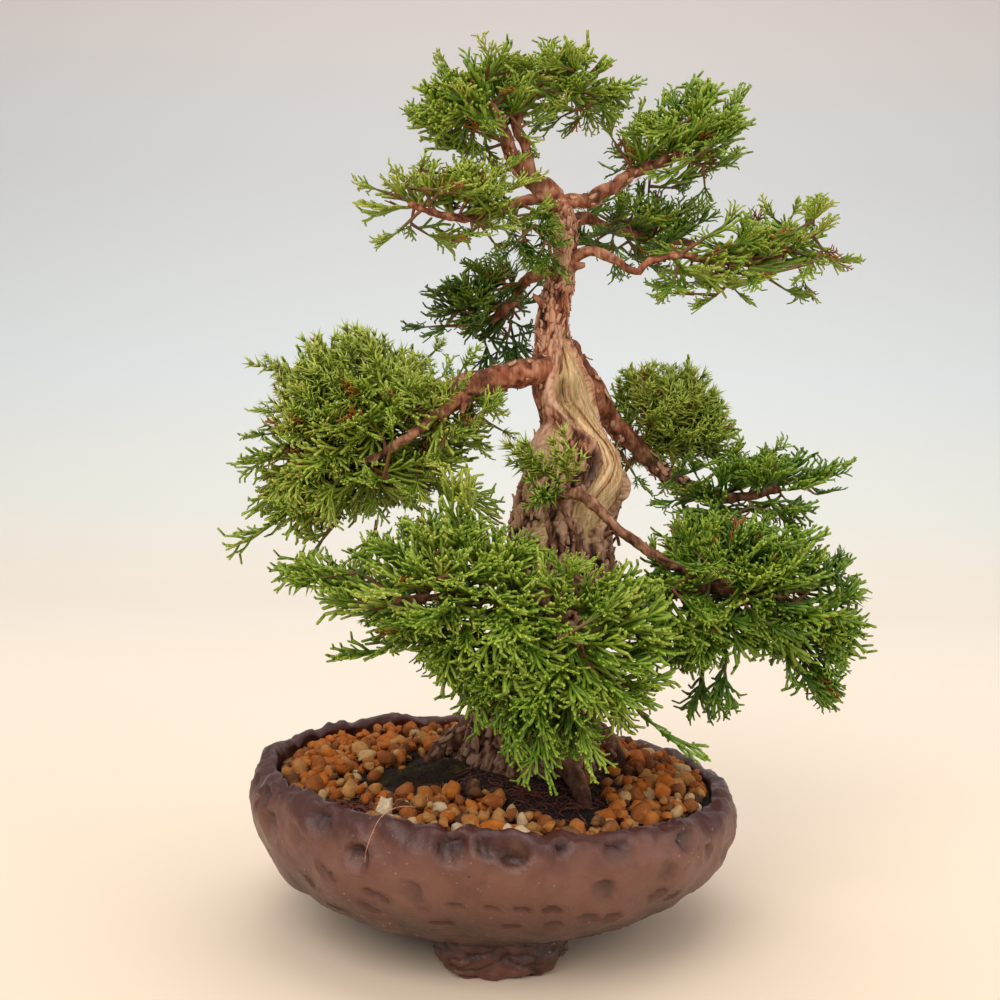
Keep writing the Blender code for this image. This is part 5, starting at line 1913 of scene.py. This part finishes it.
def needle_spray(length, pick, spread=1.0):
    """A young shoot: a soft stem with sharp needles in threes, swept forward."""
    spray = Spray()
    steps = 5
    stem = cord_path((0, 0, 0), (1, 0, 0.05), length, steps, 0.14, pick.uniform(-0.1, 0.1))
    spray.cord(stem, np.linspace(0.5, 0.22, steps), np.linspace(0.05, 0.7, steps), sides=3)
    whorls = max(4, round(length / 2.1))
    for whorl in range(whorls):
        share = (whorl + 0.35) / whorls
        place = share * (steps - 1)
        low = min(int(place), steps - 2)
        base = stem[low] + (stem[low + 1] - stem[low]) * (place - low)
        for third in range(3):
            turn = math.tau * (third / 3 + 0.17 * whorl) + pick.uniform(-0.3, 0.3)
            lean = math.radians((56 - 24 * share) * spread + pick.uniform(-8, 8))
            aim = np.array([math.cos(lean), math.sin(lean) * math.cos(turn),
                            math.sin(lean) * math.sin(turn)])
            end = base + aim * pick.uniform(5.4, 7.4) * (1 - 0.3 * share * share)
            spray.cord([base, end], [0.8, 0], [0.2 + 0.4 * share, 0.85 + 0.15 * share],
                       sides=3, flat=0.6)
    return spray


def make_sprays():
    """All templates in one collection; their names give the order in which kinds pick them."""
    pick = random.Random(SEED + 1)
    box = bpy.data.collections.new("sprays")
    kinds = {}
    plans = [
        ("scale_full", [lambda: scale_spray(17.0, 6, pick) for _ in range(5)]),
        ("scale_small", [lambda: scale_spray(12.0, 4, pick, forks=False) for _ in range(4)]),
        ("scale_thin", [lambda: scale_spray(18.0, 5, pick, forks=True, droop=0.1)
                        for _ in range(3)]),
        ("needle_full", [lambda: needle_spray(13.0, pick) for _ in range(3)]),
        ("needle_small", [lambda: needle_spray(8.5, pick, 1.1) for _ in range(3)]),
    ]
    count = 0
    for label, makers in plans:
        kinds[label] = []
        for maker in makers:
            obj = maker().made(f"spray_{count:02d}_{label}", box)
            kinds[label].append(count)
            print(obj.name, triangles(obj), "triangles")
            count += 1
    return box, kinds


sprays, SPRAY_KINDS = make_sprays()

# %% [markdown]
# ## Where the shoots grow
#
# The frame has a soft closed pad for each mass of leaves. The shoots are grown inside it much
# as a tree does it: targets are spread evenly a little below the pad's skin, and each one, the
# nearest first, is joined to the closest wood that points its way, at first the branch
# itself, and later the shoots already there. The path bends so that it arrives pointing
# outwards, and keeps a leaf spray on either side every few millimetres. This gives layers,
# gaps and a broken outline that a ball of scattered leaves would not have.

# %% What each pad is like

# Single shoots given one by one, with the pad they belong to; the longest ones leave it
LOOSE_SHOOTS = [
    ("foliage_front", [(-9, -41, 124), (-13, -42, 136), (-17, -42, 144)]),
    ("foliage_front", [(-4, -40, 126), (-8, -41, 135), (-11, -41, 143)]),
    ("foliage_front", [(-38, -44, 113), (-50, -43, 116), (-60, -43, 117.5)]),
    ("foliage_front", [(12, -56, 90), (13, -61, 76), (14, -62, 68)]),
    ("foliage_front", [(20, -54, 88), (25, -58, 76), (27, -59, 70)]),
    ("foliage_front", [(34, -50, 90), (44, -54, 80), (54, -53, 72)]),
    ("foliage_front", [(2, -54, 92), (4, -58, 82), (6, -60, 75)]),
    ("foliage_front", [(-22, -48, 104), (-34, -46, 97), (-42, -45, 94)]),
    ("foliage_left", [(-66, -10, 158), (-76, -10, 153), (-83, -10, 152)]),
    ("foliage_left", [(-62, -12, 142), (-74, -11, 132), (-82, -10, 127)]),
    ("foliage_left", [(-66, -9, 176), (-73, -9, 182), (-76, -9, 188)]),
    ("foliage_left", [(-52, -13, 135), (-60, -13, 124), (-64, -12, 117)]),
    ("foliage_left", [(-40, -13, 134), (-42, -13, 124), (-46, -12, 118)]),
    ("foliage_left", [(-20, -12, 150), (-12, -14, 142), (-8, -14, 138)]),
    ("foliage_left", [(-30, -12, 168), (-38, -22, 168), (-46, -29, 163)]),
    ("foliage_left", [(-42, -12, 160), (-49, -24, 158), (-55, -31, 151)]),
    ("foliage_left", [(-48, -12, 154), (-50, -24, 149), (-55, -29, 141)]),
    ("foliage_left", [(-34, -14, 168), (-40, -25, 172), (-47, -30, 174)]),
    ("foliage_left", [(-52, -12, 160), (-61, -23, 162), (-68, -28, 161)]),
    ("foliage_front", [(-2, -42, 114), (-10, -56, 113), (-20, -64, 108)]),
    ("foliage_front", [(-8, -46, 114), (-18, -57, 111), (-29, -62, 105)]),
    ("foliage_front", [(2, -42, 113), (4, -57, 111), (1, -66, 103)]),
    ("foliage_front", [(-14, -48, 115), (-24, -57, 117), (-34, -61, 114)]),
    ("foliage_right", [(96, -16, 98), (103, -18, 88), (107, -19, 82)]),
    ("foliage_right", [(92, -18, 98), (98, -20, 88), (101, -20, 83)]),
    ("foliage_right", [(66, -22, 94), (66, -23, 84), (65, -24, 77)]),
    ("foliage_right", [(74, -20, 94), (73, -21, 86), (70, -22, 81)]),
    ("foliage_right", [(100, -14, 108), (107, -14, 104), (111, -14, 102)]),
    ("foliage_far_right", [(88, -5, 224), (96, -5, 230), (103, -5, 236)]),
    ("foliage_upper_left", [(-26, -18, 235), (-34, -18, 234), (-40, -18, 235)]),
    ("foliage_back_left", [(2, 22, 204), (4, 23, 196), (6, 23, 190)]),
    ("foliage_back_left", [(-8, 25, 202), (-6, 26, 194), (-5, 26, 189)]),
]
# For each pad: its branches, space between shoots, share of needles low and high in the pad,
# how far shoots droop, mean tone (0 deep green, 1 yellow green) and share of dry brown sprays
PADS = {
    "foliage_left": (("left", "left_low"), 6.9, 0.05, 0.95, 0.25, 0.90, 0.05),
    "foliage_front": (("front", "front_right"), 6.9, 0.0, 0.05, 0.42, 0.68, 0.015),
    "foliage_right": (("right_low", "front_twig"), 6.9, 0.0, 0.25, 0.45, 0.56, 0.03),
    "foliage_right_tip": (("back_right",), 6.4, 0.0, 0.05, 0.0, 0.50, 0.03),
    "foliage_back_right": (("back_right",), 6.3, 0.75, 0.95, 0.1, 0.92, 0.03),
    "foliage_sprout": (("front_twig",), 9.0, 1.0, 1.0, 0.0, 0.88, 0.0),
    "foliage_crown_left": (("leader",), 6.1, 0.0, 0.1, 0.1, 0.82, 0.04),
    "foliage_crown_top": (("leader_loop",), 6.0, 0.0, 0.1, 0.25, 0.82, 0.03),
    "foliage_crown_right": (("upper_right",), 6.0, 0.0, 0.05, 0.0, 0.76, 0.03),
    "foliage_upper_left": (("upper_left",), 6.0, 0.1, 0.1, 0.1, 0.94, 0.10),
    # The back left pad's low tone is painted shade: it hangs behind the trunk.
    "foliage_back_left": (("back_left",), 6.0, 0.0, 0.05, 0.55, 0.36, 0.06),
    "foliage_mid_right": (("mid_right",), 6.0, 0.0, 0.1, 0.05, 0.48, 0.08),
    "foliage_far_right": (("far_right",), 6.0, 0.0, 0.1, 0.15, 0.76, 0.06),
    "foliage_collar": (("upper_left", "back_left"), 5.4, 0.85, 0.95, 0.0, 0.50, 0.03),
}
print(len(LIMBS), "limbs,", len(PADS), "pads,", len(LOOSE_SHOOTS), "loose shoots")

TREE_TOP = 288.5
# Where the shoots of the wide low pads radiate from
HEARTS = {"foliage_front": (-6, -26, 124), "foliage_right": (52, -12, 122),
          "foliage_left": (-38, -8, 172)}

# %% Grow the shoots of one pad


class Pad:
    """The frame's pad as a surface, in millimetres from the pot's axis."""

    def __init__(self, name):
        obj = frame["nodes"][name]
        mesh = obj.data
        mesh.calc_loop_triangles()
        points = np.array([obj.matrix_world @ vertex.co for vertex in mesh.vertices])
        self.points = points / MM - AXIS_MM
        self.corners = np.array([triangle.vertices[:] for triangle in mesh.loop_triangles])
        self.surface = BVHTree.FromPolygons(self.points.tolist(), self.corners.tolist())
        self.low = self.points.min(axis=0)
        self.high = self.points.max(axis=0)

    def depth(self, point):
        """How far the point lies below the skin; negative outside."""
        place, normal, _, distance = self.surface.find_nearest(Vector(point))
        inside = (Vector(point) - place).dot(normal) < 0
        return distance if inside else -distance

    def spread(self, count, rng):
        """Points on the skin, by area, with the outward normal there."""
        a, b, c = (self.points[self.corners[:, corner]] for corner in range(3))
        cross = np.cross(b - a, c - a)
        area = np.linalg.norm(cross, axis=1)
        faces = rng.choice(len(area), size=count, p=area / area.sum())
        u = np.sqrt(rng.random(count))[:, None]
        v = rng.random(count)[:, None]
        places = a[faces] * (1 - u) + b[faces] * u * (1 - v) + c[faces] * u * v
        return places, unit(cross[faces])


def apart(places, spacing):
    """Indices of places at least spacing from each other, the first ones kept."""
    kept = []
    for index, place in enumerate(places):
        if not kept or np.linalg.norm(places[kept] - place, axis=1).min() > spacing:
            kept.append(index)
    return kept


def limb_wood(limbs, pad):
    """Points of the pad's own branches that lie in or near it: place, direction, radius."""
    wood = []
    for limb in limbs:
        path = smooth_path(LIMBS[limb], 2.5)
        ways = unit(np.gradient(path[:, :3], axis=0))
        for place, way in zip(path, ways):
            if pad.depth(place[:3]) > -5:
                wood.append((place[:3], way, place[3]))
    return wood


def shoot_path(start, start_way, end, end_way, steps=9):
    """A Bezier path that leaves along the wood and arrives along end_way."""
    reach = np.linalg.norm(end - start)
    leave = unit(0.45 * start_way + unit(end - start))
    first = start + leave * reach * 0.33
    second = end - end_way * reach * 0.28
    t = np.linspace(0, 1, steps)[:, None]
    return ((1 - t) ** 3 * start + 3 * (1 - t) ** 2 * t * first + 3 * (1 - t) * t**2 * second
            + t**3 * end)


def grow_shoots(name, pad, rng):
    """The pad's shoots, as paths from the wood outwards."""
    limbs, spacing, _, _, droop, _, _ = PADS[name]
    wood = limb_wood(limbs, pad)
    wood_places = [place for place, way, radius in wood]
    wood_ways = [way for place, way, radius in wood]
    limb_points = np.array(wood_places)
    places, normals = pad.spread(4000, rng)
    depth = 10.6 + 5.0 * rough(places, 12.0, shift=len(name)) + rng.uniform(-2.2, 2.2, len(places))
    depth = np.minimum(depth, 0.44 * min(pad.high - pad.low))
    targets = places - normals * depth[:, None]
    targets[:, 2] = np.minimum(targets[:, 2], TREE_TOP - 8)
    kept = apart(targets, spacing)
    targets, normals = targets[kept], normals[kept]
    inner = places[:1500]
    inner = inner + (pad.points.mean(axis=0) - inner) * rng.uniform(0.45, 0.8, (1500, 1))
    extra = apart(inner, spacing * 1.25)
    targets = np.vstack([targets, inner[extra]])
    normals = np.vstack([normals, unit(inner[extra] - pad.points.mean(axis=0) + 1e-6)])
    from_limb = np.array([np.linalg.norm(limb_points - target, axis=1).min()
                          for target in targets])
    shoots = []
    for index in np.argsort(from_limb):
        target, normal = targets[index], normals[index]
        offsets = target - np.array(wood_places)
        distance = np.linalg.norm(offsets, axis=1)
        outward_way = unit(normal + unit(target - limb_points[np.argmin(
            np.linalg.norm(limb_points - target, axis=1))]))
        fit = (offsets * outward_way).sum(axis=1) / np.maximum(distance, 0.1)
        follow = (offsets * np.array(wood_ways)).sum(axis=1) / np.maximum(distance, 0.1)
        cost = distance * (1.9 - 0.75 * fit - 0.45 * follow) + np.where(distance < 4, 20, 0)
        best = int(np.argmin(cost))
        start, start_way = wood_places[best], wood_ways[best]
        lift = np.array([0, 0, 0.28 - droop * (1.2 if normal[2] < 0 else 0.5)])
        straight = unit(target - start)
        flow = straight
        if name in HEARTS:
            flow = unit((target - np.array(HEARTS[name])) * np.array([1, 0.5, 1]))
        end_way = unit(0.22 * normal + 0.4 * straight + 0.8 * flow + lift)
        path = shoot_path(start, start_way, target, end_way)
        if min(pad.depth(place) for place in path[3:7]) < 2.0:
            path = shoot_path(start, straight, target, straight)
        if min(pad.depth(place) for place in path[3:7]) < -2.5 and len(shoots) > 4:
            continue
        shoots.append(path)
        ways = unit(np.gradient(path, axis=0))
        for step in (3, 5, 7):
            wood_places.append(path[step])
            wood_ways.append(ways[step])
    for owner, points in LOOSE_SHOOTS:
        if owner == name:
            path = smooth_path([(*point, 0) for point in points], 3.0)[:, :3]
            shoots.append(path[:max(4, len(path) - 2)])
    return shoots


pads = {name: Pad(name) for name in PADS}
growth = {}
for name, pad in pads.items():
    growth[name] = grow_shoots(name, pad, np.random.default_rng(SEED + len(growth)))
    print(name, len(growth[name]), "shoots, middle", round(pad.depth(pad.points.mean(axis=0)), 1),
          "mm deep")
print(sum(len(shoots) for shoots in growth.values()), "shoots")

# %% [markdown]
# Each shoot carries sprays along its outer part, left and right in turn and a little turned
# about its axis, and three at its end. "tone" says how deep or how yellow each spray is: the
# top of a pad is painted lighter and its heart painted darker, painted light and shade over
# the random tone, and a few sprays have dried to orange.

# %% Set sprays on the shoots

OVERHANG = (-4.5, 2.5)
SMALLEST = 0.62
TREE_LEFT, TREE_RIGHT = -91.0, 125.0
SPRAY_LENGTHS = [max(vertex.co.x for vertex in obj.data.vertices)
                 for obj in sorted(sprays.objects, key=lambda obj: obj.name)]


def spray_plan(name, pad, shoots, rng):
    """Places, aims, sides, sizes, kinds and tones for all sprays of a pad."""
    loose = sum(owner == name for owner, points in LOOSE_SHOOTS)
    _, _, needles_low, needles_high, droop, mean_tone, dry = PADS[name]
    rows = []
    span = pad.high[2] - pad.low[2]
    for index, path in enumerate(shoots):
        is_loose = index >= len(shoots) - loose
        overhang = rng.uniform(*OVERHANG)
        ways = unit(np.gradient(path, axis=0))
        length = np.linalg.norm(np.diff(path, axis=0), axis=1).sum()
        count = max(2, round(0.72 * length / 3.9))
        phase = rng.integers(2)
        for number in range(count + 3):
            at_end = number >= count
            share = 1.0 if at_end else 0.26 + 0.70 * (number + rng.uniform(0.2, 0.8)) / count
            place_index = share * (len(path) - 1)
            low = min(int(place_index), len(path) - 2)
            place = path[low] + (path[low + 1] - path[low]) * (place_index - low)
            way = ways[low]
            up = unit(np.array([0, 0, 1.0]) + rng.normal(0, 0.42, 3))
            across = unit(np.cross(way, up))
            plane = unit(np.cross(across, way))
            if at_end:
                turn = (0, 30, -30)[number - count] + rng.uniform(-7, 7)
            else:
                turn = (38 - 8 * share + rng.uniform(-8, 8)) * (1 if (number + phase) % 2 else -1)
            turn = math.radians(turn)
            aim = way * math.cos(turn) + across * math.sin(turn)
            aim = unit(aim + np.array([0, 0, 0.10 - 0.22 * droop]) + rng.normal(0, 0.08, 3))
            depth = pad.depth(place)
            high = float(np.clip((place[2] - pad.low[2]) / span, 0, 1))
            patch = noise.noise(Vector(place) / 11 + Vector((5, 0, 0)))
            needle = needles_low + (needles_high - needles_low) * steep(high * 1.6 - 0.35)
            is_needle = rng.random() < needle + 0.35 * patch * (0.1 < needle < 0.9)
            small = rng.random() < (0.3 if at_end else 0.45)
            if is_needle:
                kind = rng.choice(SPRAY_KINDS["needle_small" if small else "needle_full"])
            elif droop > 0.2 and high < 0.3 and rng.random() < 0.5:
                kind = rng.choice(SPRAY_KINDS["scale_thin"])
            else:
                kind = rng.choice(SPRAY_KINDS["scale_small" if small else "scale_full"])
            size = rng.uniform(0.82, 1.08) * (0.72 if is_loose else 1.0 if at_end else 0.92)
            if name == "foliage_sprout":
                size *= 0.92
            if not is_loose and name != "foliage_sprout":
                reach = aim * SPRAY_LENGTHS[int(kind)] * size
                end = place + reach + plane * 0.14 * np.linalg.norm(reach)
                over = max(-pad.depth(end) - overhang, end[2] - TREE_TOP)
                size -= max(0.0, over) / SPRAY_LENGTHS[int(kind)]
                if size < SMALLEST and not at_end:
                    continue
                size = max(size, 0.45)
            end = place + aim * SPRAY_LENGTHS[int(kind)] * size
            if end[2] > TREE_TOP + 1 or end[0] > TREE_RIGHT or end[0] < TREE_LEFT:
                continue
            # Higher in the pad the tone is lighter and deeper inside it darker: painted light and
            # painted shade over the random tone.
            tone = (mean_tone + 0.26 * (high - 0.5) + 0.2 * patch + rng.normal(0, 0.11)
                    - 0.14 * np.clip(depth / 14 - 0.4, 0, 1.2))
            tone = float(np.clip(tone, 0.14, 0.98))
            if rng.random() < dry * (1.6 if depth > 7 else 0.7):
                tone = rng.uniform(0.0, 0.07)
                size *= 0.8
            rows.append((*place, *aim, *plane, size, kind, tone))
    return np.array(rows)


def leaf_material(name):
    """Green from deep to yellow by tone, brighter at the tips; the driest tones are orange."""
    material, tree, shader, _ = new_material(name, 0.42)
    tip = stored(tree, "tip")
    tone = stored(tree, "tone")
    base = colour_ramp(tree, tone, [
        (0.0, (128, 70, 26)), (0.08, (140, 92, 28)), (0.12, (38, 64, 14)), (0.35, (58, 94, 18)),
        (0.6, (88, 126, 24)), (0.85, (120, 148, 36)), (1.0, (146, 158, 50))])
    end = colour_ramp(tree, tone, [
        (0.0, (180, 116, 48)), (0.08, (196, 148, 60)), (0.12, (108, 138, 42)),
        (0.35, (152, 184, 56)), (0.6, (190, 212, 74)), (0.85, (214, 226, 100)),
        (1.0, (222, 228, 116))])
    bright = between(tree, tip, 0.25, 1.0)
    colour = mixed(tree, times(tree, bright, 2.4, "POWER"), base, end)
    # Dark stripes across each cord: painted shade between the scale leaves, in place of their
    # relief.
    wave = times(tree, times(tree, tip, 58.0), 0.0, "SINE")
    scales = between(tree, wave, -1.0, 1.0, 0.84, 1.0)
    colour = mixed(tree, scales, rgb(20, 34, 8), colour)
    tree.links.new(colour, shader.inputs["Base Color"])
    shader.inputs["Specular IOR Level"].default_value = 0.35
    return material


def bake_layout(mesh):
    """A flat layout of the leaves: tip across, tone up, a little round each cord."""
    count = len(mesh.vertices)
    tip, tone, around = np.zeros(count), np.zeros(count), np.zeros(count)
    mesh.attributes["tip"].data.foreach_get("value", tip)
    mesh.attributes["tone"].data.foreach_get("value", tone)
    mesh.attributes["around"].data.foreach_get("value", around)
    corners = np.zeros(len(mesh.loops), np.int32)
    mesh.loops.foreach_get("vertex_index", corners)
    layout = mesh.uv_layers.new(name="OFBake")
    uv = np.stack([0.01 + 0.98 * tip, 0.01 + 0.96 * tone + 0.02 * around], 1)[corners]
    layout.data.foreach_set("uv", uv.astype(np.float32).ravel())
    mesh.attributes.remove(mesh.attributes["around"])


LEAVES = leaf_material("juniper_leaves")
MOST_TRIANGLES = 185000
spray_triangles = [triangles(obj) for obj in sorted(sprays.objects, key=lambda obj: obj.name)]
total = 0
for name, shoots in growth.items():
    rows = spray_plan(name, pads[name], shoots, np.random.default_rng(SEED + 100 + len(name)))
    weights = np.array([spray_triangles[int(kind)] for kind in rows[:, 10]])
    parts = math.ceil(weights.sum() / MOST_TRIANGLES)
    rows = rows[np.argsort(rows[:, 2], kind="stable")]
    for part, share in enumerate(np.array_split(rows, parts)):
        piece_name = name.replace("foliage", "leaves") + (f"_{part + 1}" if parts > 1 else "")
        leaves = scattered(piece_name, share[:, :3], share[:, 3:6], share[:, 6:9], share[:, 9],
                           share[:, 10], sprays, LEAVES, {"tone": share[:, 11]})
        bake_layout(leaves.data)
        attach(leaves, "root")
        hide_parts(name)
        total += triangles(leaves)
        print(piece_name, len(share), "sprays", triangles(leaves), "triangles")
discard(sprays)
print("leaves in all", total, "triangles")

# %% [markdown]
# The wood of the shoots shows between the sprays: brown near the branch and green where the
# growth is new. All shoots of the tree are paths with a radius, made into tubes at once.

# %% Twigs inside the pads


def make_twigs():
    """All the shoots as lines with a size and a tone, from old wood to new."""
    points, edges, sizes, tones = [], [], [], []
    for shoots in growth.values():
        for path in shoots:
            length = np.linalg.norm(np.diff(path, axis=0), axis=1).sum()
            start = 0.5 + 0.018 * min(length, 34)
            first = len(points)
            for number, place in enumerate(path):
                share = number / (len(path) - 1)
                points.append(place)
                sizes.append(start * (1 - share) + 0.32 * share)
                tones.append(share)
            edges += [(first + i, first + i + 1) for i in range(len(path) - 1)]
    line = mesh_object("twig_lines", points, [], edges)
    set_attribute(line.data, "size", "FLOAT", np.array(sizes) * MM)
    set_attribute(line.data, "tone", "FLOAT", tones)
    return line


def twig_material():
    """Brown where the twig is old and green where it is new."""
    material, tree, shader, place = new_material("twig_bark", 0.7)
    tone = stored(tree, "tone")
    patches = group(tree, BLOTCHES, {"Place": place, "Scale": 260.0, "Low": 0.35, "High": 0.65})
    old = mixed(tree, patches, rgb(92, 52, 28), rgb(136, 88, 54))
    young = mixed(tree, patches, rgb(70, 84, 26), rgb(104, 96, 40))
    colour = mixed(tree, between(tree, tone, 0.35, 0.8), old, young)
    tree.links.new(colour, shader.inputs["Base Color"])
    grain_bump(tree, shader, place, (700.0, 2400.0), 0.0002, 0.6)
    return material


twigs = grown(make_twigs(), TUBES, {"Sides": 5, "Relief": 0.35 * MM, "Relief Scale": 500.0,
                                    "Material": twig_material()}, "twigs")
outward(twigs)
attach(twigs, "root")
print("twigs", triangles(twigs), "triangles")

# %% [markdown]
# ## Sizes, and the end
#
# The looks must fit the frame. The two boxes are printed so that they can be compared.

# %% Print the sizes of the frame and the looks

looks_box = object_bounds()
for label, (low, high) in (("frame", cad_box), ("looks", looks_box)):
    print(label, "low", [round(v * 1000, 1) for v in low], "high",
          [round(v * 1000, 1) for v in high])
